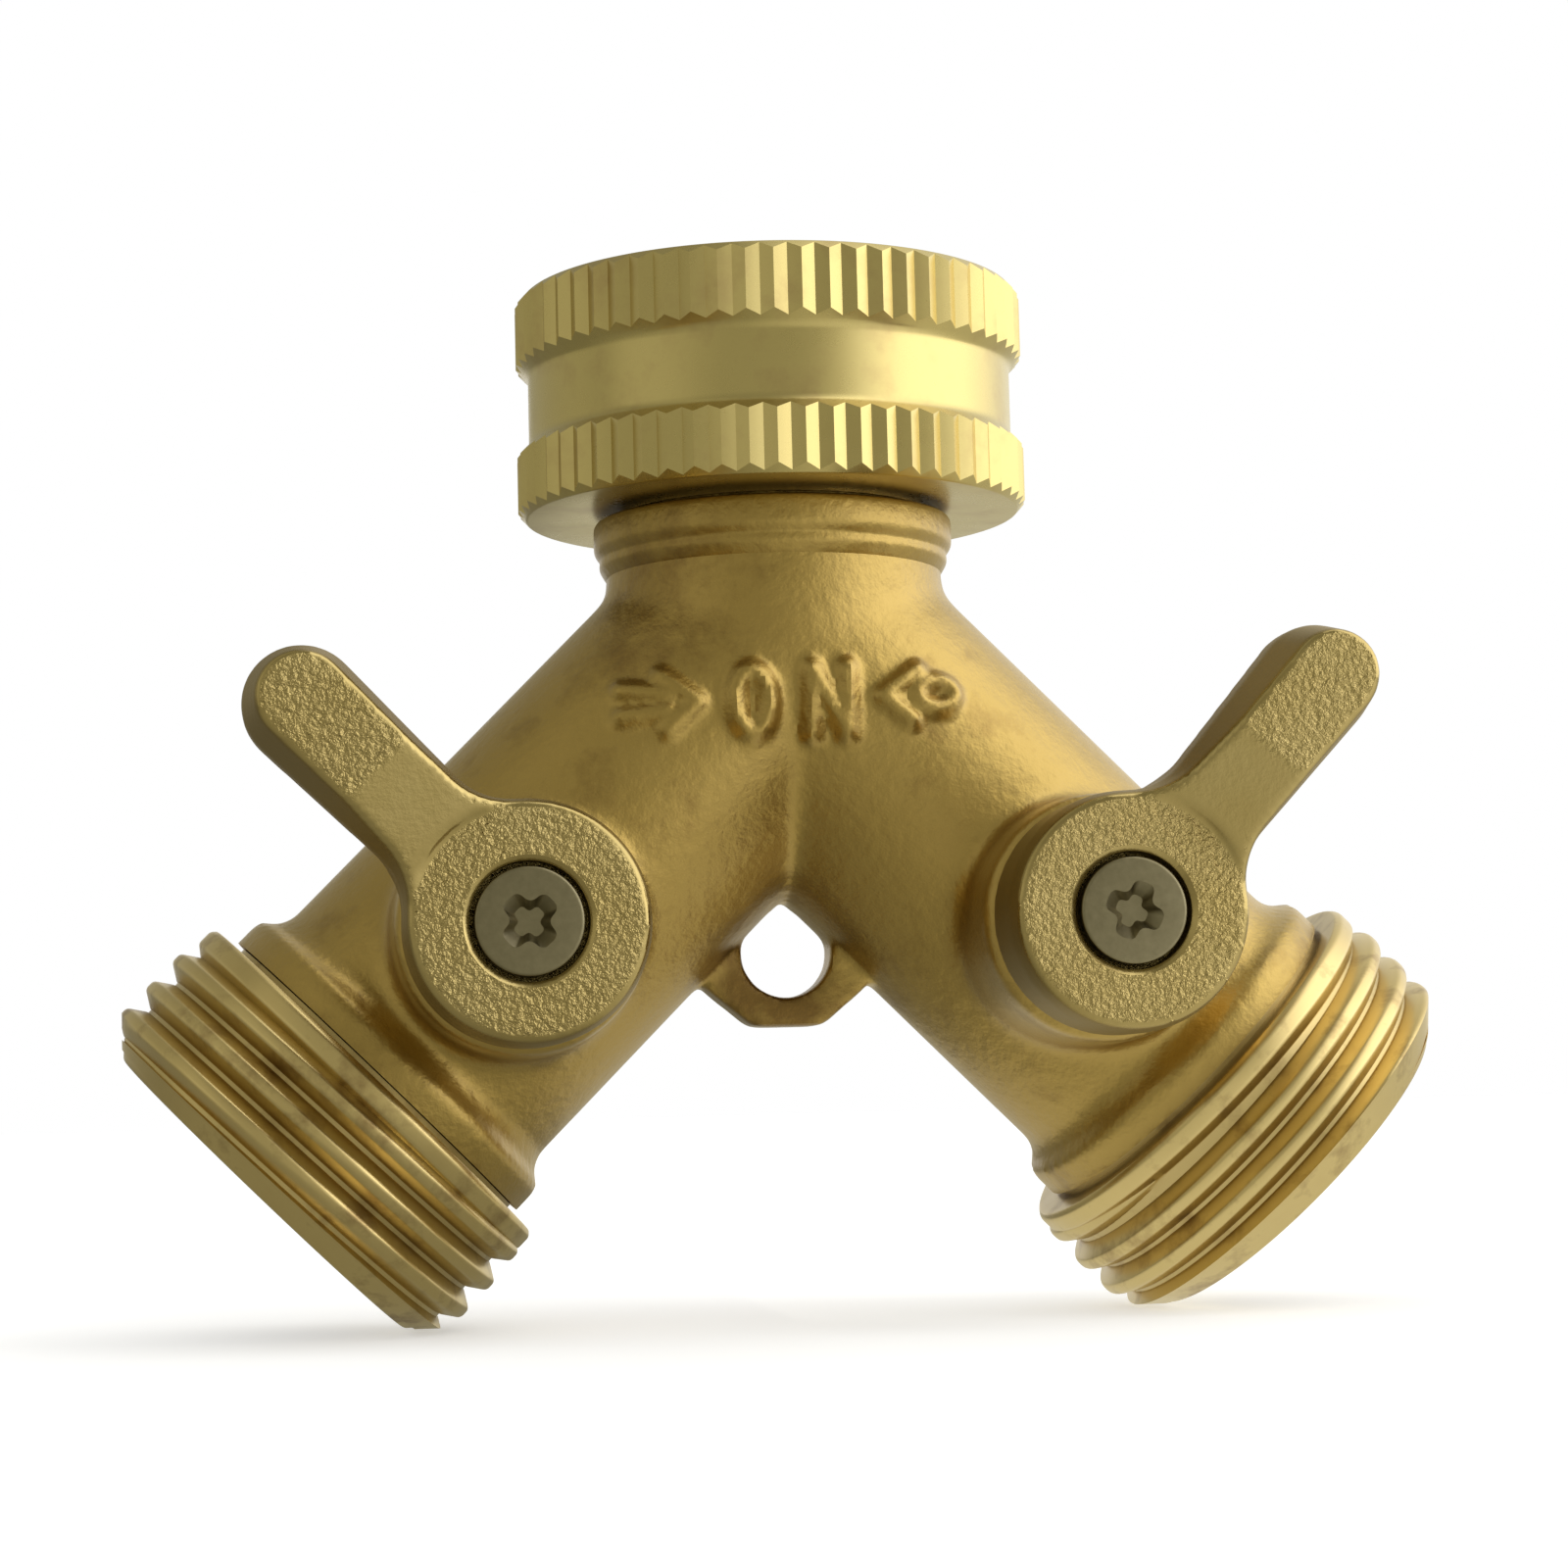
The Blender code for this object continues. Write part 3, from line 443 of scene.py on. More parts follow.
# %% Collar, tail and ring groove, with the heights taken from the Y's centre
COLLAR = 11.0 * MM
COLLAR_TOP = 8.8 * MM
COLLAR_FOOT = 4.7 * MM
COLLAR_STEPS = 160
TAIL = 9.25 * MM
TAIL_TOP = 14.0 * MM
RING_GROOVE = 8.3 * MM
RING_TOP = 12.9 * MM
RING_FOOT = 11.4 * MM
neck_outline = rounded([
    (0, TAIL_TOP, 0), (TAIL, TAIL_TOP, 0.4 * MM), (TAIL, RING_TOP, 0), (RING_GROOVE, RING_TOP, 0),
    (RING_GROOVE, RING_FOOT, 0), (TAIL, RING_FOOT, 0), (TAIL, COLLAR_TOP, 0.1 * MM),
    (COLLAR, COLLAR_TOP, 0.5 * MM), (COLLAR, 7.0 * MM, 0.4 * MM),
    (COLLAR - 0.35 * MM, 6.5 * MM, 0.12 * MM), (COLLAR - 0.3 * MM, 6.0 * MM, 0.3 * MM),
    (COLLAR - 0.7 * MM, 5.3 * MM, 0.3 * MM), (COLLAR - 1.4 * MM, COLLAR_FOOT, 0), (0, COLLAR_FOOT, 0)])
carve(body, "UNION", turn("collar", neck_outline, COLLAR_STEPS, ON_INLET))
print("collar", round(2 * COLLAR / MM, 1), "mm across")

# %% The hollow
CUT_PAST = 2 * MM
INLET_BORE = 6.4 * MM
WATERWAY = 4.6 * MM
CHAMBER = 7.9 * MM
CHAMBER_START = 17.1 * MM
CHAMBER_END = 28.9 * MM
SPIGOT_BORE = 8.7 * MM
STEM_BORE = 3.7 * MM
STEM_FLANGE_BORE = 5.1 * MM
STEM_FOOT = 4.3 * MM
STEM_STEP = 10.9 * MM
HOLE_STEPS = 64
hollow = turn("hollow", rod(INLET_BORE, TAIL_TOP + CUT_PAST, -CUT_PAST), STEPS, ON_INLET)
way = [(0, 0), (WATERWAY, 0), (WATERWAY, CHAMBER_START), (CHAMBER, CHAMBER_START), (CHAMBER, CHAMBER_END),
       (SPIGOT_BORE, CHAMBER_END), (SPIGOT_BORE, LEG_LENGTH + CUT_PAST), (0, LEG_LENGTH + CUT_PAST)]
stem_hole = [(0, STEM_FOOT), (STEM_FLANGE_BORE, STEM_FOOT), (STEM_FLANGE_BORE, STEM_STEP),
             (STEM_BORE, STEM_STEP), (STEM_BORE, BOSS_TOP + CUT_PAST), (0, BOSS_TOP + CUT_PAST)]
for side in SIDES:
    carve(hollow, "UNION", turn("way", way, STEPS, ON_LEG[side]))
    carve(hollow, "UNION", turn("stem_hole", stem_hole, HOLE_STEPS, ON_VALVE[side]))
print("hollow", len(hollow.data.polygons), "faces")
carve(body, "DIFFERENCE", hollow)

# %% The stop on each boss
STOP_RADIUS = 5.2 * MM
STOP_HALF_WIDTH = 0.6 * MM
STOP_ANGLE = math.radians(135)
STOP_HALF_SPAN = math.radians(11)
STOP_ROOT = 0.5 * MM
STOP_HEIGHT = 0.8 * MM
for side, hand in SIDES.items():
    stop = sector(STOP_RADIUS, STOP_HALF_WIDTH, -hand * STOP_ANGLE, STOP_HALF_SPAN, 6)
    carve(body, "UNION", punch("stop", stop, BOSS_TOP - STOP_ROOT, BOSS_TOP + STOP_HEIGHT, ON_VALVE[side]))
finish_piece(body, "body", "cast_brass", "body")

# %% [markdown]
# ## The knurled nut
# Two bands of sharp teeth give wet fingers a grip, with a plain groove between them. A circle
# with six corners to a tooth is pushed in where the valleys are and drawn up as a long star.
# The star is then kept only inside a turned envelope, so the chamfers and the groove cut the
# teeth off in points, as the tool on the lathe did.

# %% The toothed bar
NUT_RADIUS = 15.6 * MM
NUT_HEIGHT = 13.6 * MM
NUT_TEETH = 60
TOOTH_CORNERS = 6
TOOTH_DEPTH = 0.36 * MM
ON_NUT = Matrix.Translation((0, 0, -NUT_HEIGHT))
put_down()
corners = TOOTH_CORNERS * NUT_TEETH
bpy.ops.mesh.primitive_circle_add(vertices=corners, radius=NUT_RADIUS, location=(0, 0, -OVERRUN))
nut = bpy.context.object
nut.name = "knurled_nut"
bpy.ops.object.transform_apply(location=True)
open_up(nut)
for corner in range(1, TOOTH_CORNERS):
    pick(nut, range(corner, corners, TOOTH_CORNERS))
    depth = TOOTH_DEPTH * (1.0 - abs(2 * corner / TOOTH_CORNERS - 1.0))
    scale = 1.0 - depth / NUT_RADIUS
    bpy.ops.transform.resize(value=(scale, scale, 1.0), center_override=(0, 0, 0))
bpy.ops.mesh.select_all(action="SELECT")
bpy.ops.mesh.edge_face_add()
bpy.ops.mesh.extrude_region_move(TRANSFORM_OT_translate={"value": (0, 0, NUT_HEIGHT + 2 * OVERRUN)})
close_up()
settle(nut, ON_NUT)
print("star of", NUT_TEETH, "teeth,", len(nut.data.polygons), "faces")

# %% Chamfers, groove and mouth
# The envelope stands a little proud of the teeth, so they keep their sharp edges. Two more
# corners on the floor of the groove keep the fillets at its ends short.
GAP = 0.3 * MM
FEMALE_MAJOR = 13.6 * MM
NUT_LIP = 2.3 * MM
NUT_GROOVE = 14.85 * MM
proud = NUT_RADIUS + 0.05 * MM
chamfer = NUT_RADIUS - 0.5 * MM
envelope = rounded([
    (TAIL + GAP, 0, 0.15 * MM), (chamfer, 0, 0.1 * MM), (proud, 0.6 * MM, 0.05 * MM),
    (proud, 3.7 * MM, 0.05 * MM), (NUT_GROOVE, 4.5 * MM, 0.5 * MM), (NUT_GROOVE, 5.3 * MM, 0),
    (NUT_GROOVE, 8.0 * MM, 0), (NUT_GROOVE, 8.8 * MM, 0.5 * MM), (proud, 9.6 * MM, 0.05 * MM),
    (proud, NUT_HEIGHT - 0.6 * MM, 0.05 * MM), (chamfer, NUT_HEIGHT, 0.1 * MM),
    (FEMALE_MAJOR + 0.3 * MM, NUT_HEIGHT, 0.1 * MM), (FEMALE_MAJOR, NUT_HEIGHT - 0.4 * MM, 0.1 * MM),
    (FEMALE_MAJOR, NUT_LIP, 0), (TAIL + GAP, NUT_LIP, 0.1 * MM)])
carve(nut, "INTERSECT", turn("envelope", envelope, corners, ON_NUT))
print("nut", len(nut.data.polygons), "faces before its thread")

# %% [markdown]
# ## Threads
# The nut has a hose thread inside and the outlets have one outside. A thread is a ridge wound
# along a helix, so its section is drawn once and a Screw modifier winds it. The ends of a real
# thread run out into the bar, so the last part-turn is sunk into its core.

# %% Winding a ridge
THREAD_PITCH = 2.21 * MM
THREAD_DEPTH = 1.3 * MM
THREAD_STEPS = 96
ROOTED = 0.4 * MM  # how deep a ridge is buried in its bar
RUN_OUT = 0.3  # the part of a turn over which it sinks
SUNK = 0.02  # its height where it ends, as a share


def wind(name, section, turns, core, place):
    """Wind a (radius, height) section up a right-hand helix and sink both ends into the core."""
    middle = sum(height for _, height in section) / len(section)
    coil = draw(name, [(radius, 0.0, height) for radius, height in section])
    put_down()
    steps = round(THREAD_STEPS * turns)
    shape(coil, "SCREW", angle=2 * math.pi * turns, screw_offset=THREAD_PITCH * turns, steps=steps,
          render_steps=steps, use_merge_vertices=False)
    for vert in coil.data.vertices:
        part = math.atan2(vert.co.y, vert.co.x) / (2 * math.pi)
        along = part + round((vert.co.z - middle) / THREAD_PITCH - part)
        height = min(1.0, max(SUNK, along / RUN_OUT), max(SUNK, (turns - along) / RUN_OUT))
        radius = math.hypot(vert.co.x, vert.co.y)
        scale = (core + (radius - core) * height) / radius
        vert.co.x *= scale
        vert.co.y *= scale
    open_up(coil)
    bpy.ops.mesh.fill_holes(sides=0)
    close_up()
    return settle(coil, place)


# %% The thread in the nut
NUT_FLANK = 0.78 * MM
NUT_CREST = 0.28 * MM
first = 8.9 * MM
female = rounded([(FEMALE_MAJOR + ROOTED, first + NUT_FLANK, 0),
                  (FEMALE_MAJOR - THREAD_DEPTH, first + NUT_CREST, 0.25 * MM),
                  (FEMALE_MAJOR - THREAD_DEPTH, first - NUT_CREST, 0.25 * MM),
                  (FEMALE_MAJOR + ROOTED, first - NUT_FLANK, 0)], 3)
female_turns = (NUT_HEIGHT - NUT_FLANK - GAP - first) / THREAD_PITCH
carve(nut, "UNION", wind("nut_thread", female, female_turns, FEMALE_MAJOR + ROOTED, ON_NUT))
finish_piece(nut, "swivel_nut", "turned_brass", "swivel_nut")

# %% [markdown]
# ## The hose ends
# Each hose end is a turned piece of its own, screwed into its leg by a spigot: a plain land
# beside the dark seam, then a coarse thread that the end face cuts off. It could be made in one
# go from a threaded bar. Here the plain piece is turned, the thread is wound round it, and both
# are kept inside one turned end cut, which tapers the last turn.

# %% Outline of a hose end
MALE_MAJOR = 13.5 * MM
OUTLET_LENGTH = 9.25 * MM
OUTLET_BORE = 8.2 * MM
OUTLET_THROAT = 5.0 * MM
SPIGOT = 8.4 * MM
SPIGOT_FOOT = 30.1 * MM
SHOULDER = 11.0 * MM
LAND = 13.15 * MM
SKIM = 0.05 * MM
core = MALE_MAJOR - THREAD_DEPTH + 0.2 * MM
start = LEG_LENGTH + GAP
end = start + OUTLET_LENGTH
hose_end = rounded([
    (SPIGOT, SPIGOT_FOOT, 0.2 * MM), (SPIGOT, LEG_LENGTH + SKIM, 0), (SHOULDER, LEG_LENGTH + SKIM, 0),
    (SHOULDER, start + SKIM, 0), (LAND - 0.3 * MM, start + SKIM, 0.1 * MM),
    (LAND, start + 0.35 * MM, 0.2 * MM), (LAND, start + 1.3 * MM, 0.2 * MM),
    (core, start + 1.9 * MM, 0.1 * MM), (core, end - 1.0 * MM, 0.2 * MM),
    (core - 0.9 * MM, end, 0.2 * MM), (OUTLET_BORE, end, 0.3 * MM), (OUTLET_BORE, start, 0.4 * MM),
    (OUTLET_THROAT, start - 2.5 * MM, 0.4 * MM), (OUTLET_THROAT, SPIGOT_FOOT, 0.1 * MM)])
print("hose end", round((end - SPIGOT_FOOT) / MM, 2), "mm long with its spigot")

# %% Its thread and its end cut
HOSE_FLANK = 1.0 * MM
HOSE_CREST = 0.32 * MM
END_TAPER = 1.9 * MM
first = start + 1.2 * MM
male = rounded([(core - ROOTED, first - HOSE_FLANK, 0), (core + SKIM, first - HOSE_FLANK, 0.15 * MM),
                (MALE_MAJOR, first - HOSE_CREST, 0.22 * MM), (MALE_MAJOR, first + HOSE_CREST, 0.22 * MM),
                (core + SKIM, first + HOSE_FLANK, 0.15 * MM), (core - ROOTED, first + HOSE_FLANK, 0)])
male_turns = (end + 0.9 * MM - first) / THREAD_PITCH
clear = MALE_MAJOR + 1.5 * MM
end_cut = [(0, SPIGOT_FOOT - OVERRUN), (clear, SPIGOT_FOOT - OVERRUN), (clear, end - END_TAPER - 1.5 * MM),
           (MALE_MAJOR, end - END_TAPER), (MALE_MAJOR - END_TAPER, end), (0, end)]
print("male thread", round(male_turns, 2), "turns")

# %% Both hose ends
THREAD_PHASE = {"left": math.radians(180), "right": 0.0}
outlets = {}
for side in SIDES:
    outlet = turn(f"{side}_hose_end", hose_end, LARGE_STEPS, ON_LEG[side])
    screwed = ON_LEG[side] @ Matrix.Rotation(THREAD_PHASE[side], 4, "Z")
    carve(outlet, "UNION", wind("male_thread", male, male_turns, core - ROOTED, screwed))
    carve(outlet, "INTERSECT", turn("end_cut", end_cut, LARGE_STEPS, ON_LEG[side]))
    outlets[side] = finish_piece(outlet, "body", "turned_brass", f"{side}_outlet")

# %% [markdown]
# ## The levers
# Each lever is a rough brass casting: a round hub, a ramp and a raised thumb pad, all with
# rounded edges and leaning walls so that it leaves its mould. Bevels would round the edges
# too, but not where the ramp runs into the hub, so the plan is drawn up with a draft, cut by
# the side view, remeshed and smoothed. Smoothing takes a little off, so the plan is drawn
# slightly large. The seat of the screw, the socket and the slot are cut after that.

# %% Plan
HUB_RADIUS = 6.8 * MM
LEVER_REACH = 20.3 * MM
LEVER_HALF = 3.25 * MM
WAIST_HALF = 3.0 * MM
LEVER_FILLET = 4.0 * MM
rise = WAIST_HALF + LEVER_FILLET
run = math.sqrt((HUB_RADIUS + LEVER_FILLET) ** 2 - rise ** 2)
meet = math.atan2(rise, run)
tip = LEVER_REACH - LEVER_HALF
plan = arc((0, 0), HUB_RADIUS, meet, 2 * math.pi - meet, 48)
plan += arc((run, -rise), LEVER_FILLET, math.pi - meet, math.pi / 2, 8)[1:]
plan += arc((tip, 0), LEVER_HALF, -math.pi / 2, math.pi / 2, 24)
plan += arc((run, rise), LEVER_FILLET, -math.pi / 2, meet - math.pi, 8)[:-1]
print("lever plan", len(plan), "points")

# %% Side view, with the heights taken from the leg's axis
HUB_BASE = BOSS_TOP + GAP
HUB_FACE = 22.0 * MM
RAMP_START = 5.3 * MM
RAMP_END = 11.6 * MM
PAD_FACE = 24.2 * MM
PAD_TILT = 0.8 * MM
UNDERSIDE = 18.2 * MM
UNDERCUT_START = 7.4 * MM
UNDERCUT_END = 8.6 * MM
FAR = 40 * MM
far_pad = PAD_FACE + PAD_TILT * (FAR - RAMP_END) / (LEVER_REACH - RAMP_END)
side_view = [(-FAR, HUB_BASE), (UNDERCUT_START, HUB_BASE), (UNDERCUT_END, UNDERSIDE), (FAR, UNDERSIDE),
             (FAR, far_pad), (RAMP_END, PAD_FACE), (RAMP_START, HUB_FACE), (-FAR, HUB_FACE)]
print("pad", round((PAD_FACE - UNDERSIDE) / MM, 1), "mm thick where the ramp ends")


# %% Screw seat, socket and stop slot
def plate(half_width, half_height):
    """The corners of a rectangle about the origin."""
    return [(half_width, half_height), (-half_width, half_height), (-half_width, -half_height),
            (half_width, -half_height)]


SCREW_HEAD = 3.0 * MM
SEAT_FLOOR = 20.1 * MM
SEAT_CHAMFER = 0.26 * MM
SHANK_HOLE = 1.75 * MM
FACED_RADIUS = 6.5 * MM
FACED_DEPTH = 0.02 * MM
SLOT_HALF_WIDTH = 0.9 * MM
seat_wall = SCREW_HEAD + GAP
screw_seat = [(0, HUB_FACE + OVERRUN), (seat_wall + 1.6 * MM, HUB_FACE + OVERRUN),
              (seat_wall, HUB_FACE - SEAT_CHAMFER), (seat_wall, SEAT_FLOOR), (SHANK_HOLE, SEAT_FLOOR),
              (SHANK_HOLE, HUB_BASE - OVERRUN), (0, HUB_BASE - OVERRUN)]
spot_face = rod(FACED_RADIUS, HUB_FACE - FACED_DEPTH, PAD_FACE)
socket = plate(2.6 * MM, 2.6 * MM)
slot_reach = math.radians(56) + GAP / STOP_RADIUS
slot = sector(STOP_RADIUS, SLOT_HALF_WIDTH, math.pi, slot_reach, 24)
print("stop slot", round(math.degrees(2 * slot_reach)), "degrees long")

# %% Both levers
BLANK_TOP = 26.1 * MM
DRAFT_HEIGHT = 5.6 * MM
DRAFT = 1.1 * MM
SOCKET_TOP = 18.6 * MM
SLOT_TOP = 16.8 * MM
below = HUB_BASE - OVERRUN
SIDEWAYS = axes(Vector((1, 0, 0)), FRONT, Vector())
levers = {}
for side in SIDES:
    place = ON_LEVER[side]
    lever = punch(f"{side}_lever", plan, below, BLANK_TOP, place, leaning=DRAFT_HEIGHT, lean=DRAFT)
    carve(lever, "INTERSECT", punch("side_view", side_view, -FAR, FAR, place @ SIDEWAYS))
    carve(lever, "DIFFERENCE", turn("spot_face", spot_face, STEPS, place))
    cast(lever, voxel=0.2 * MM, passes=13)
    carve(lever, "DIFFERENCE", turn("screw_seat", screw_seat, SMALL_STEPS, place))
    carve(lever, "DIFFERENCE", punch("socket", socket, below, SOCKET_TOP, place))
    carve(lever, "DIFFERENCE", punch("stop_slot", slot, below, SLOT_TOP, place))
    levers[side] = finish_piece(lever, f"{side}_valve", "handle_brass", f"{side}_handle")

# %% [markdown]
# ## The screws
# A flat steel screw holds each lever on its stem. Its cross recess has four rounded lobes that
# narrow as they go down. A cross of two boxes would have straight walls, so one lobe is drawn,
# turned to make four, and the star is sunk with a taper.

# %% Head, shank and cross recess
HEAD_BASE = HUB_FACE - 1.6 * MM
SHANK = 1.45 * MM
SCREW_TIP = 15.3 * MM
LOBE_REACH = 1.65 * MM
LOBE_HALF = 0.6 * MM
CROSS_WAIST = 0.68 * MM
bolt = rounded([(0, HUB_FACE, 0), (SCREW_HEAD, HUB_FACE, 0.22 * MM), (SCREW_HEAD, HEAD_BASE, 0.1 * MM),
                (SHANK, HEAD_BASE, 0), (SHANK, SCREW_TIP, 0.3 * MM), (0, SCREW_TIP, 0)])
lobe = [(LOBE_REACH, LOBE_HALF), (CROSS_WAIST, CROSS_WAIST), (LOBE_HALF, LOBE_REACH)]
cross = []
for _ in range(4):
    cross += lobe
    lobe = [(-y, x) for x, y in lobe]
cross = soften(cross, 0.45 * MM)
print("cross recess", len(cross), "points")

# %% Both screws
SCREW_TURN = {"left": math.radians(-2), "right": math.radians(17)}
SINK = 0.75 * MM
screws = {}
for side in SIDES:
    screw = turn(f"{side}_screw", bolt, SMALL_STEPS, ON_LEVER[side])
    turned = ON_LEVER[side] @ Matrix.Rotation(SCREW_TURN[side], 4, "Z")
    recess = punch("recess", cross, HUB_FACE + OVERRUN, HUB_FACE - SINK, turned, leaning=-SINK, shrink=0.55)
    carve(screw, "DIFFERENCE", recess)
    screws[side] = finish_piece(screw, f"{side}_valve", "steel", f"{side}_handle_screw")

# %% [markdown]
# ## Ball, seats and washer
# Looking up a hose end, the plated ball and the white seat that seals it are in sight, and the
# nut shows its rubber washer from above. A ball could be turned from a half circle, but a
# sphere is quicker to cut its port and notch from. The seats and the washer are turned.

# %% Balls and seats
BALL = 7.0 * MM
PORT = 4.3 * MM
PAST_BALL = 9 * MM
NOTCH_FLOOR = 5.4 * MM
SEAT_BORE = 5.0 * MM
SEAT_FACE = 1.4 * MM
SEAT_RADIUS = 7.6 * MM
SEAT_BACK = 6.2 * MM
ACROSS = Matrix.Rotation(math.radians(90), 4, "Y")
port = rod(PORT, -PAST_BALL, PAST_BALL)
notch = plate(1.6 * MM, 10 * MM)
face_radii = [SEAT_BORE + SEAT_FACE * i / 6 for i in range(7)]
face = [(r, -math.sqrt((BALL + GAP) ** 2 - r ** 2)) for r in face_radii]
seat_ring = face + [(SEAT_RADIUS, face[-1][1]), (SEAT_RADIUS, -SEAT_BACK), (SEAT_BORE, -SEAT_BACK)]
inner_works = []
for side in SIDES:
    place = ON_LEVER[side]
    put_down()
    bpy.ops.mesh.primitive_uv_sphere_add(segments=72, ring_count=36, radius=BALL)
    ball = settle(bpy.context.object, place)
    ball.name = f"{side}_plated_ball"
    carve(ball, "DIFFERENCE", turn("port", port, SMALL_STEPS, place @ ACROSS))
    carve(ball, "DIFFERENCE", punch("notch", notch, NOTCH_FLOOR, PAST_BALL, place))
    inner_works.append(finish_piece(ball, f"{side}_valve", "plated_brass", f"{side}_ball"))
    for name, onward in (("inner", 1.0), ("outer", -1.0)):
        ring = [(r, VALVE_STATION + onward * s) for r, s in seat_ring]
        seal = turn(f"{side}_{name}_ring", ring, STEPS, ON_LEG[side])
        inner_works.append(finish_piece(seal, "body", "ptfe", f"{side}_{name}_seat"))

# %% The hose washer
WASHER_BORE = 7.2 * MM
WASHER_RADIUS = 13.3 * MM
WASHER_TOP = 17.0 * MM
WASHER_FOOT = 14.3 * MM
flat = [(WASHER_BORE, WASHER_TOP), (WASHER_RADIUS, WASHER_TOP), (WASHER_RADIUS, WASHER_FOOT),
        (WASHER_BORE, WASHER_FOOT)]
washer = turn("rubber_washer", soften(flat, 0.35 * MM), LARGE_STEPS, ON_INLET)
finish_piece(washer, "swivel_nut", "rubber", "hose_washer")

# %% [markdown]
# ## Finishes
# All the brass here is one alloy in three finishes: blasted casting, bright turning and rough
# sand casting. Painted pictures could give these, but they would need unwrapped pieces and
# would blur close up, so every pattern is worked out by nodes. It runs on Object coordinates,
# in metres, so a scale of one over a size in metres gives a pattern of that size.

# %% Colour and nodes
def linear(code):
    """sRGB hex to a linear colour."""
    parts = [int(code[i:i + 2], 16) / 255 for i in (1, 3, 5)]
    return (*[p / 12.92 if p <= 0.04045 else ((p + 0.055) / 1.055) ** 2.4 for p in parts], 1.0)


def set_up(tree, node, settings, links):
    """Set a node's sockets and properties, and link its inputs from sockets or from nodes."""
    for name, value in settings.items():
        if isinstance(name, int) or name in node.inputs:
            node.inputs[name].default_value = value
        else:
            setattr(node, name, value)
    for name, source in links.items():
        if not isinstance(source, bpy.types.NodeSocket):
            source = next(socket for socket in source.outputs if socket.enabled)
        tree.links.new(source, node.inputs[name])
    return node


def add(tree, kind, settings, links):
    """Add one node with its settings and links."""
    return set_up(tree, tree.nodes.new("ShaderNode" + kind), settings, links)


# %% Starting a material and putting it on
def start_material(name):
    """A material with its shader and the piece's own coordinates."""
    made = bpy.data.materials.new(name)
    made.use_nodes = True
    tree = made.node_tree
    where = add(tree, "TexCoord", {}, {}).outputs["Object"]
    return made, tree, tree.nodes["Principled BSDF"], where


def per(size_mm):
    """Texture scale for a pattern of this size."""
    return 1.0 / (size_mm * MM)


def paint(piece, finish):
    """Give a piece one finish all over."""
    piece.data.materials.clear()
    piece.data.materials.append(finish)
    print(piece.name, "in", finish.name)


# %% [markdown]
# ## Bead-blasted cast brass
# The Y is a sand casting cleaned with glass beads and sealed with a thin clear lacquer. Wet
# hands leave brown tarnish under the nut and beside the word, and the eye is coloured darker.
# Two clouds of noise give the uneven gold and the stains, and three soft balls of distance
# darken the gold under the nut, beside the word and on the eye.

# %% Tarnish where hands touch, and a darker eye
# Each place is given in millimetres, with the width of its darkening and its strength.
DARKENED_PLACES = [((-7.6, -7.0, -18.4), 7.0, 0.22), ((-10.5, -5.5, -24.0), 5.0, 0.2),
           # The last place colours the eye and the crotch above it darker.
           ((0.0, -2.0, -43.5), 8.0, 0.35)]
cast_brass, tree, shader, where = start_material("bead_blasted_cast_brass")
dirt = add(tree, "TexNoise", {"Scale": per(5.0), "Detail": 6.0, "Roughness": 0.68}, {"Vector": where})
for spot, width, strength in DARKENED_PLACES:
    centre = [v * MM for v in spot]
    away = add(tree, "VectorMath", {"operation": "DISTANCE", 1: centre}, {0: where})
    near = add(tree, "MapRange", {"From Max": width * MM, "To Min": strength, "To Max": 0.0}, {"Value": away})
    dirt = add(tree, "Math", {"operation": "ADD"}, {0: dirt, 1: near})
print(len(DARKENED_PLACES), "darkened places")

# %% Satin gold with a fine grain
# Gives the eye a soft, deep gold: no sharp reflection, a fine grain where light grazes it,
# and pale brightest places, which are the lacquer's.
clouds = add(tree, "TexNoise", {"Scale": per(9.0), "Detail": 4.0, "Roughness": 0.6}, {"Vector": where})
grain = add(tree, "TexNoise", {"Scale": per(0.9), "Detail": 3.0, "Roughness": 0.6}, {"Vector": where})
gold = add(tree, "Mix", {"data_type": "RGBA", "A": linear("#A78B46"), "B": linear("#BDA159")},
           {"Factor": clouds})
patch = add(tree, "MapRange", {"From Min": 0.56, "From Max": 0.86, "To Max": 0.9}, {"Value": dirt})
tarnish = add(tree, "Mix", {"data_type": "RGBA", "B": linear("#7E602C")}, {"Factor": patch, "A": gold})
satin = add(tree, "MapRange", {"To Min": 0.34, "To Max": 0.48}, {"Value": clouds})
pits = add(tree, "Bump", {"Strength": 0.75, "Distance": 0.13 * MM}, {"Height": grain})
set_up(tree, shader, {"Metallic": 1.0, "Coat Weight": 0.4, "Coat Roughness": 0.3},
       {"Base Color": tarnish, "Roughness": satin, "Normal": pits})
paint(body, cast_brass)

# %% [markdown]
# ## Turned brass
# The nut and the hose ends were cut on a lathe from bright bar. The tool leaves fine rings
# round the axis, hands leave a haze, and the valleys of the threads are coloured darker. A Mapping
# node brings each piece's axis to Z, where one stretched noise draws the rings.


# %% Darker colour in the valleys of a thread
def valley_darkening(tree, spun, floor, crest, end_face):
    """How much darker the colour is: most on the valley's floor, and none at the crest or end face."""
    across = add(tree, "VectorMath", {"operation": "MULTIPLY", 1: (1, 1, 0)}, {0: spun})
    away = add(tree, "VectorMath", {"operation": "LENGTH"}, {0: across})
    depth = add(tree, "MapRange", {"From Min": floor, "From Max": crest, "To Min": 0.35, "To Max": 0.0},
                {"Value": away})
    along = add(tree, "SeparateXYZ", {}, {"Vector": spun}).outputs["Z"]
    inside = add(tree, "MapRange", {"From Min": end_face - 0.2 * MM, "From Max": end_face, "To Min": 1.0,
                                    "To Max": 0.0}, {"Value": along})
    return add(tree, "Math", {"operation": "MULTIPLY"}, {0: depth, 1: inside})


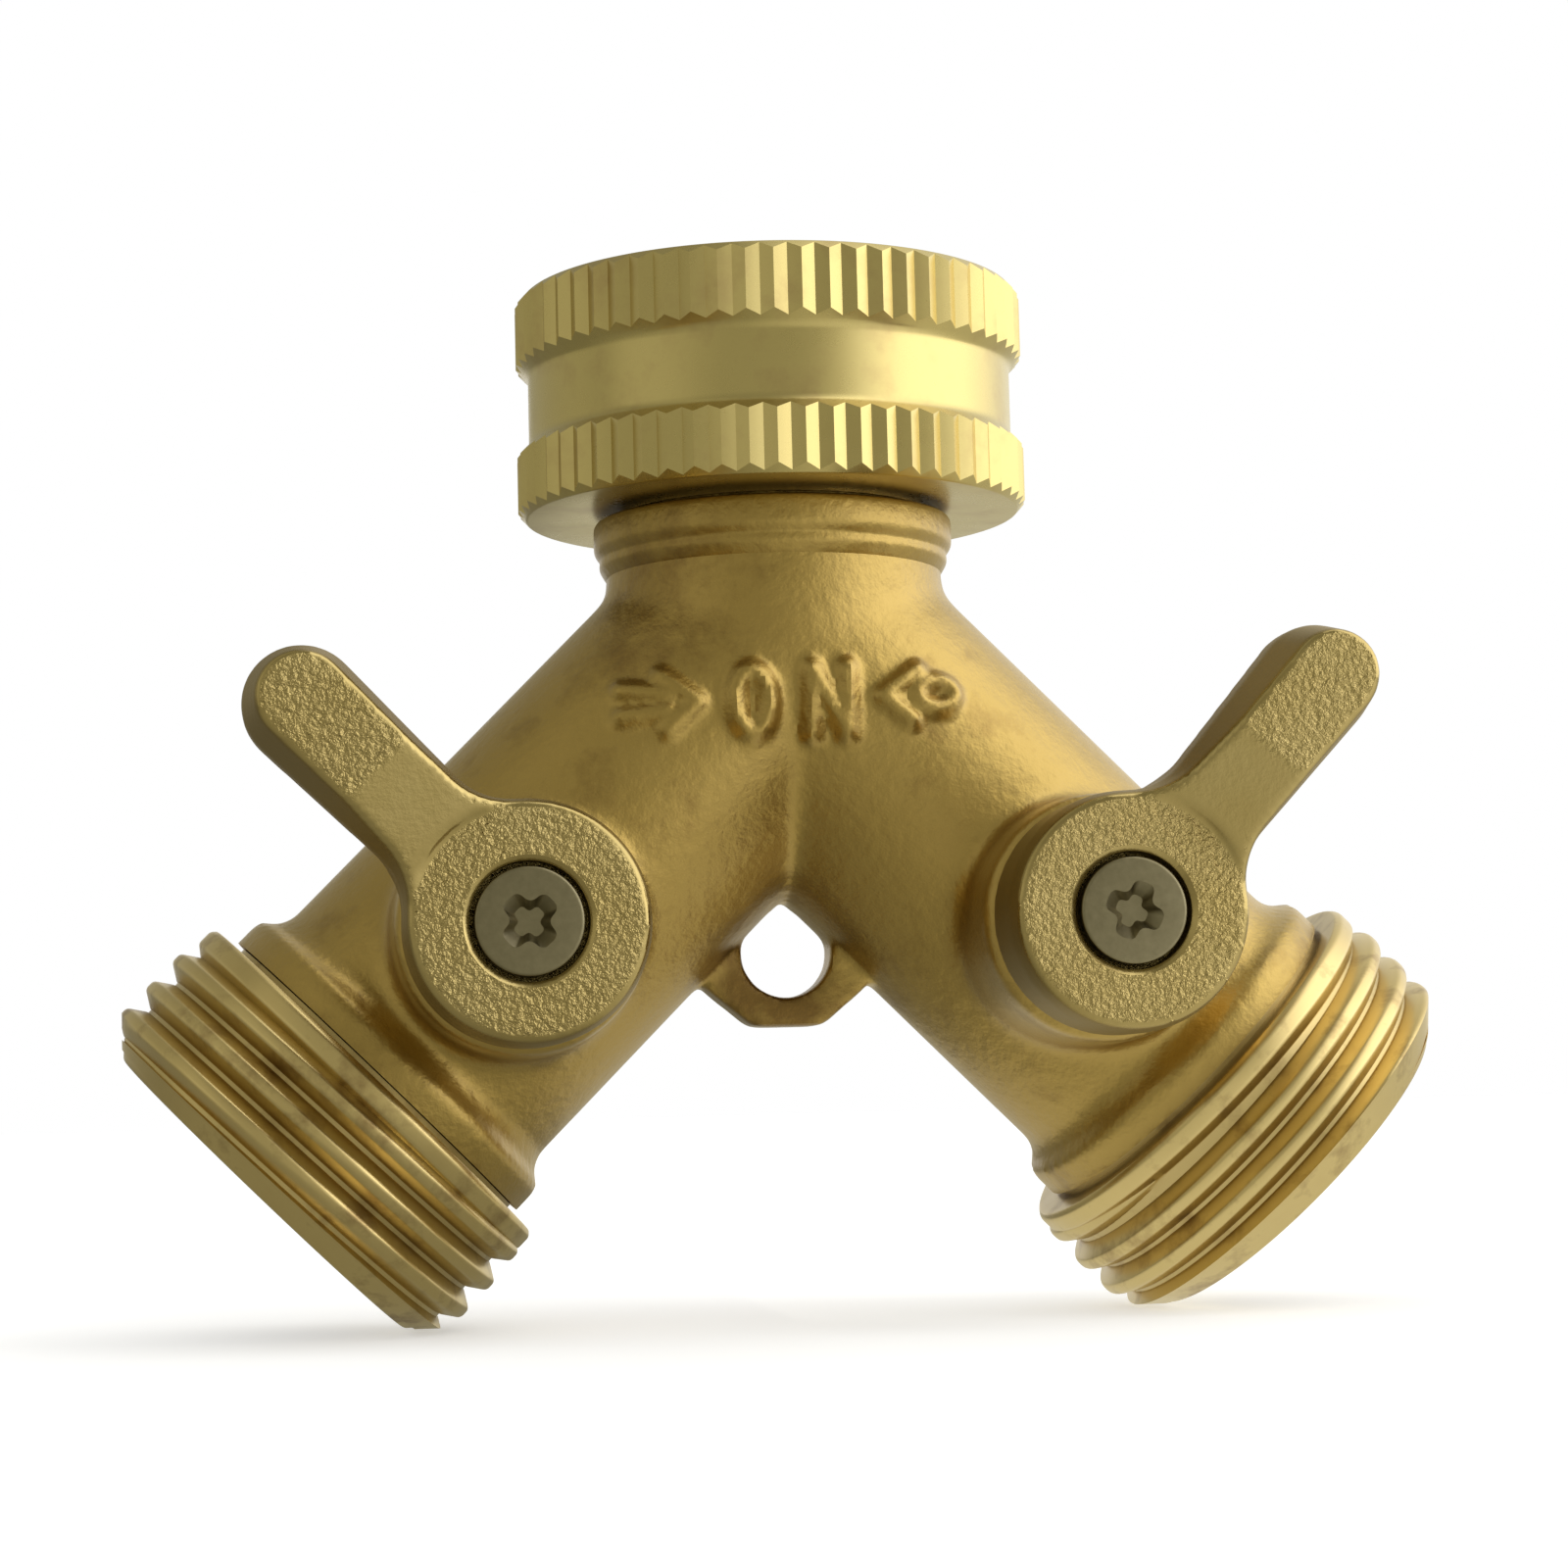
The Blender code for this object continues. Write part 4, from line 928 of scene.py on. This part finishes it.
# %% Rings, haze and gloss
# Gives the eye a pale lemon gold with clear highlights, drawn out a little by the rings.
def turned_brass(name, place, tones, smooth, dull, valley=None):
    """Bright turned brass with rings round the Z axis of a placement, and darker valleys."""
    pale, deep, streak = [linear(code) for code in tones]
    made, tree, shader, where = start_material(name)
    back = place.inverted()
    spun = add(tree, "Mapping", {"Rotation": back.to_euler(), "Location": back.translation},
               {"Vector": where})
    rings = add(tree, "Mapping", {"Scale": (per(6.0), per(6.0), per(0.12))}, {"Vector": spun})
    lines = add(tree, "TexNoise", {"Scale": 1.0, "Detail": 2.0}, {"Vector": rings})
    haze = add(tree, "TexNoise", {"Scale": per(4.0), "Detail": 5.0, "Roughness": 0.65}, {"Vector": where})
    gold = add(tree, "Mix", {"data_type": "RGBA", "A": deep, "B": pale}, {"Factor": haze})
    mark = add(tree, "MapRange", {"From Min": 0.52, "From Max": 0.70}, {"Value": haze})
    skin = add(tree, "Mix", {"data_type": "RGBA", "B": streak}, {"Factor": mark, "A": gold})
    # The valleys of a thread are coloured darker, most on their floor.
    if valley:
        skin = add(tree, "Mix", {"data_type": "RGBA", "B": linear("#9A8456")},
                   {"Factor": valley_darkening(tree, spun, *valley), "A": skin})
    gloss = add(tree, "MapRange", {"To Min": smooth, "To Max": dull}, {"Value": haze})
    cuts = add(tree, "Bump", {"Strength": 0.25, "Distance": 0.01 * MM}, {"Height": lines})
    set_up(tree, shader, {"Metallic": 1.0}, {"Base Color": skin, "Roughness": gloss, "Normal": cuts})
    return made


# %% Nut, stems and hose ends
nut_tones = ("#CDBC7C", "#C1AF72", "#BDA870")
nut_brass = turned_brass("turned_nut_brass", ON_NUT, nut_tones, 0.22, 0.34)
paint(nut, nut_brass)
thread_valley = (core, MALE_MAJOR - 0.4 * MM, end - END_TAPER)
hose_tones = ("#DAC68A", "#CAB278", "#A2885A")
for side in SIDES:
    name = f"turned_{side}_hose_end_brass"
    paint(outlets[side], turned_brass(name, ON_LEG[side], hose_tones, 0.24, 0.4, thread_valley))
    paint(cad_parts[f"{side}_stem"], nut_brass)

# %% [markdown]
# ## Rough cast brass
# The levers are sand castings that were only tumbled. The faces that point to the front keep
# the sand's grain, the ramp between them is rubbed satin, and the walls keep the brown skin of
# the mould, painted darker still as shade. The piece's own normal tells these apart, so the
# finish turns with the lever.

# %% Where the front faces and the walls are
WALL_FROM = -0.75
WALL_TO = -0.35
lever_brass, tree, shader, where = start_material("rough_cast_lever_brass")
facing = add(tree, "SeparateXYZ", {}, {"Vector": where.node.outputs["Normal"]}).outputs["Y"]
wall_skin_and_shade = add(tree, "MapRange", {"From Min": WALL_FROM, "From Max": WALL_TO}, {"Value": facing})
sandy = add(tree, "MapRange", {"From Min": -0.985, "From Max": -0.94, "To Min": 1.0, "To Max": 0.04},
            {"Value": facing})
print("walls lean more than", round(math.degrees(math.acos(-WALL_FROM))), "degrees from the front")

# %% Sand, skin and sparkle
# Gives the eye a pale gold that sparkles in grains on the flat faces, between dull brown walls darkened with
# painted shade.
sand = add(tree, "TexNoise", {"Scale": per(0.4), "Detail": 3.0, "Roughness": 0.62}, {"Vector": where})
clouds = add(tree, "TexNoise", {"Scale": per(5.0), "Detail": 4.0}, {"Vector": where})
gold = add(tree, "Mix", {"data_type": "RGBA", "A": linear("#A69158"), "B": linear("#B9A670")},
           {"Factor": clouds})
# The walls are painted darker brown: their mould skin, and painted shade.
skin = add(tree, "Mix", {"data_type": "RGBA", "B": linear("#8F7A46")}, {"Factor": wall_skin_and_shade, "A": gold})
glint = add(tree, "MapRange", {"To Min": 0.1, "To Max": 0.28}, {"Value": sand})
dull = add(tree, "MapRange", {"From Min": WALL_FROM, "From Max": WALL_TO, "To Max": 0.5}, {"Value": facing})
gloss = add(tree, "Math", {"operation": "MAXIMUM"}, {0: glint, 1: dull})
rough = add(tree, "Bump", {"Distance": 0.36 * MM}, {"Height": sand, "Strength": sandy})
set_up(tree, shader, {"Metallic": 1.0}, {"Base Color": skin, "Roughness": gloss, "Normal": rough})
for lever in levers.values():
    paint(lever, lever_brass)

# %% [markdown]
# ## Steel, plating, rubber and PTFE
# The small parts have plain finishes: oiled screws, a bright spring ring, chrome on the balls,
# moulded black rubber and machined white PTFE. One recipe makes them all, because each is two
# close tones, a mottle of one size and a shallow bump, with its own gloss.


# %% A mottled finish
# Gives the eye a surface that is even from afar and not quite flat close up.
def fine_finish(name, dark, light, metallic, roughness, size, depth):
    """A mottled finish: two close tones, a grain of one size and a shallow bump."""
    made, tree, shader, where = start_material(name)
    mottle = add(tree, "TexNoise", {"Scale": per(size), "Detail": 4.0, "Roughness": 0.6}, {"Vector": where})
    tone = add(tree, "Mix", {"data_type": "RGBA", "A": linear(dark), "B": linear(light)},
               {"Factor": mottle})
    gloss = add(tree, "MapRange", {"To Min": roughness - 0.06, "To Max": roughness + 0.06},
                {"Value": mottle})
    bump = add(tree, "Bump", {"Strength": 0.3, "Distance": depth * MM}, {"Height": mottle})
    set_up(tree, shader, {"Metallic": metallic}, {"Base Color": tone, "Roughness": gloss, "Normal": bump})
    return made


screw_steel = fine_finish("oiled_screw_steel", "#7A7258", "#948B6E", 1.0, 0.36, 0.5, 0.02)
spring_steel = fine_finish("spring_steel", "#9A9A98", "#B4B4B2", 1.0, 0.30, 0.6, 0.01)
chrome = fine_finish("chrome_plate", "#C9CACC", "#DADBDD", 1.0, 0.12, 1.5, 0.004)
rubber = fine_finish("black_rubber", "#1B1B1C", "#2A2A2B", 0.0, 0.68, 0.4, 0.03)
ptfe = fine_finish("white_ptfe", "#E4E3DE", "#F0EFEA", 0.0, 0.48, 0.8, 0.01)

# %% The small parts
for screw in screws.values():
    paint(screw, screw_steel)
for piece in inner_works:
    paint(piece, chrome if "ball" in piece.name else ptfe)
paint(washer, rubber)
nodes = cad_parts
paint(nodes["retaining_ring"], spring_steel)
for side in SIDES:
    paint(nodes[f"{side}_thrust_washer"], ptfe)
    paint(nodes[f"{side}_lower_o_ring"], rubber)
    paint(nodes[f"{side}_upper_o_ring"], rubber)

# %% [markdown]
# ## The studio
# Brass shows its surroundings more than its own colour. The splitter stands on a pale floor in
# front of white, inside a light tent that only its shine sees. Lamps could light the cloth,
# but a cloth that glows by itself is steadier. Most of the tent is a dim cream, so the front
# stays a deep gold, and one bright white window on the right makes the right-hand edges shine.


# %% What the eye sees
def seen(tree):
    """1 for rays from the camera, off gloss or through glass, and 0 for light that falls on things."""
    ray = add(tree, "LightPath", {}, {}).outputs
    shine = add(tree, "Math", {"operation": "MAXIMUM"}, {0: ray["Is Camera Ray"], 1: ray["Is Glossy Ray"]})
    return add(tree, "Math", {"operation": "MAXIMUM"}, {0: shine, 1: ray["Is Transmission Ray"]})


# %% Floor
FLOOR_SIZE = 6.0
FLOOR_GLOW = 0.42
floor_level = cad_box[0].z - 0.05 * MM
put_down()
bpy.ops.mesh.primitive_grid_add(x_subdivisions=4, y_subdivisions=4, size=FLOOR_SIZE,
                                location=(0, 0, floor_level))
floor = bpy.context.object
floor.name = "floor"
floor_paint, tree, shader, _ = start_material("pale_floor_paint")
glow = add(tree, "Math", {"operation": "MULTIPLY", 1: FLOOR_GLOW}, {0: seen(tree)})
set_up(tree, shader, {"Base Color": linear("#E8E8E6"), "Roughness": 0.9, "Emission Color": (1, 1, 1, 1)},
       {"Emission Strength": glow})
paint(floor, floor_paint)

# %% White surroundings
world = bpy.data.worlds.new("studio")
bpy.context.scene.world = world
world.use_nodes = True
tree = world.node_tree
level = add(tree, "MapRange", {"To Min": 0.8, "To Max": 1.0}, {"Value": seen(tree)})
set_up(tree, tree.nodes["Background"], {"Color": (1, 1, 1, 1)}, {"Strength": level})
print("surroundings:", world.name)

# %% The tent, cut off at the floor and open at the back
TENT_RADIUS = 0.9
TENT_BACK = 0.86
TENT_MIDDLE = -0.03
cloth_level = floor_level + 0.02 * MM
put_down()
bpy.ops.mesh.primitive_uv_sphere_add(segments=72, ring_count=36, radius=TENT_RADIUS,
                                     location=(0, 0, TENT_MIDDLE))
tent = bpy.context.object
tent.name = "light_tent"
bpy.ops.object.transform_apply(location=True)
open_up(tent)
bpy.ops.mesh.bisect(plane_co=(0, 0, cloth_level), plane_no=(0, 0, -1), clear_outer=True, use_fill=True)
bpy.ops.mesh.select_all(action="SELECT")
bpy.ops.mesh.bisect(plane_co=(0, TENT_BACK, 0), plane_no=(0, 1, 0), clear_outer=True)
put_down()
for sight in ("visible_camera", "visible_shadow", "visible_diffuse"):
    setattr(tent, sight, False)
print("tent", len(tent.data.polygons), "faces")

# %% Panels round the tent
# Each panel is a bearing in degrees from the front to the right, and how bright it is there.
PANELS = [(-180, 0.42), (-123, 0.46), (-104, 0.48), (-94, 0.41), (-88, 0.41), (-78, 0.62), (-54, 0.6),
          (-41, 0.5), (-30, 0.43), (14, 0.43), (25, 0.7), (34, 1.15), (44, 1.7), (57, 2.3), (94, 2.3),
          (112, 1.75), (130, 1.2), (180, 0.9)]
cloth, tree, shader, where = start_material("cream_tent_cloth")
tree.nodes.remove(shader)
at = add(tree, "SeparateXYZ", {}, {"Vector": where}).outputs
ahead = add(tree, "Math", {"operation": "MULTIPLY", 1: -1.0}, {0: at["Y"]})
bearing = add(tree, "Math", {"operation": "ARCTAN2"}, {0: at["X"], 1: ahead})
turn_share = add(tree, "MapRange", {"From Min": -math.pi, "From Max": math.pi}, {"Value": bearing})
panels = add(tree, "ValToRGB", {}, {"Fac": turn_share})
stops = panels.color_ramp.elements
stops[0].color = (PANELS[0][1],) * 3 + (1,)
stops[1].color = (PANELS[-1][1],) * 3 + (1,)
for angle, value in PANELS[1:-1]:
    stops.new((angle + 180) / 360).color = (value, value, value, 1)
print("tent of", len(stops), "panels")

# %% Dimmer overhead and low down, the cloth on the floor, and the tint
# Heights are in metres. The window lights the cloth on the floor from about 20 degrees left of
# the front round to 50 right, which are given as shares of a turn from the back.
overhead = add(tree, "MapRange", {"From Min": 0.15, "From Max": 0.6, "To Min": 1.07, "To Max": 0.8},
               {"Value": at["Z"]})
low_down = add(tree, "MapRange", {"From Min": -0.03, "From Max": 0.18, "To Min": 0.82, "To Max": 1.0},
               {"Value": at["Z"]})
height_share = add(tree, "Math", {"operation": "MULTIPLY"}, {0: overhead, 1: low_down})
wall_shade = add(tree, "Math", {"operation": "MULTIPLY"}, {0: panels, 1: height_share})
near_shade = add(tree, "MapRange", {"From Min": -0.09, "From Max": 0.03, "To Min": 0.44, "To Max": 0.26},
                 {"Value": at["Y"]})
by_window = add(tree, "MapRange", {"From Min": 0.444, "From Max": 0.639, "To Min": 1.0, "To Max": 2.6},
                {"Value": turn_share})
floor_shade = add(tree, "Math", {"operation": "MULTIPLY"}, {0: near_shade, 1: by_window})
above = add(tree, "MapRange", {"From Min": -0.06, "From Max": -0.03}, {"Value": at["Z"]})
shade = add(tree, "Mix", {}, {"Factor": above, "A": floor_shade, "B": wall_shade})
bright = add(tree, "MapRange", {"From Min": 0.5, "From Max": 1.3}, {"Value": shade})
tint = add(tree, "Mix", {"data_type": "RGBA", "A": linear("#FFFCE4"), "B": linear("#FFFFFF")},
           {"Factor": bright})
lamp = add(tree, "Emission", {}, {"Strength": shade, "Color": tint})
set_up(tree, tree.nodes["Material Output"], {}, {"Surface": lamp})
paint(tent, cloth)

# %% A soft lamp overhead
LAMP_PLACE = (0.45, -0.35, 0.75)
LAMP_WIDTH = 0.5
LAMP_WATTS = 1.2
bpy.ops.object.light_add(type="AREA", location=LAMP_PLACE)
key = bpy.context.object
key.name = "softbox"
key.data.shape = "DISK"
key.data.size = LAMP_WIDTH
key.data.energy = LAMP_WATTS
key.rotation_euler = (Vector((0, 0, TENT_MIDDLE)) - key.location).to_track_quat("-Z", "Y").to_euler()
print("softbox of", LAMP_WATTS, "watts")

# %% [markdown]
# ## The camera
# The camera stands where the photograph was taken, low and a little to the left. Its place,
# turn and lens were fitted to the rims, seams and screws that the photograph shows, which is
# closer than a guess by eye.

# %% Camera, with its turn in degrees and its lens in millimetres
CAMERA_PLACE = (-27.72 * MM, -203.91 * MM, -49.41 * MM)
CAMERA_TURN = (95.369, 1.465, -7.696)
LENS = 77.508
SENSOR = 36.0
camera_data = bpy.data.cameras.new("camera")
camera = bpy.data.objects.new("camera", camera_data)
bpy.context.scene.collection.objects.link(camera)
camera.location = CAMERA_PLACE
camera.rotation_euler = [math.radians(angle) for angle in CAMERA_TURN]
camera_data.lens = LENS
camera_data.sensor_width = SENSOR
camera_data.clip_start = 0.01
bpy.context.scene.camera = camera
bpy.context.scene.view_settings.view_transform = "Standard"
print("camera", round(-CAMERA_PLACE[1] / MM), "mm in front of the splitter")
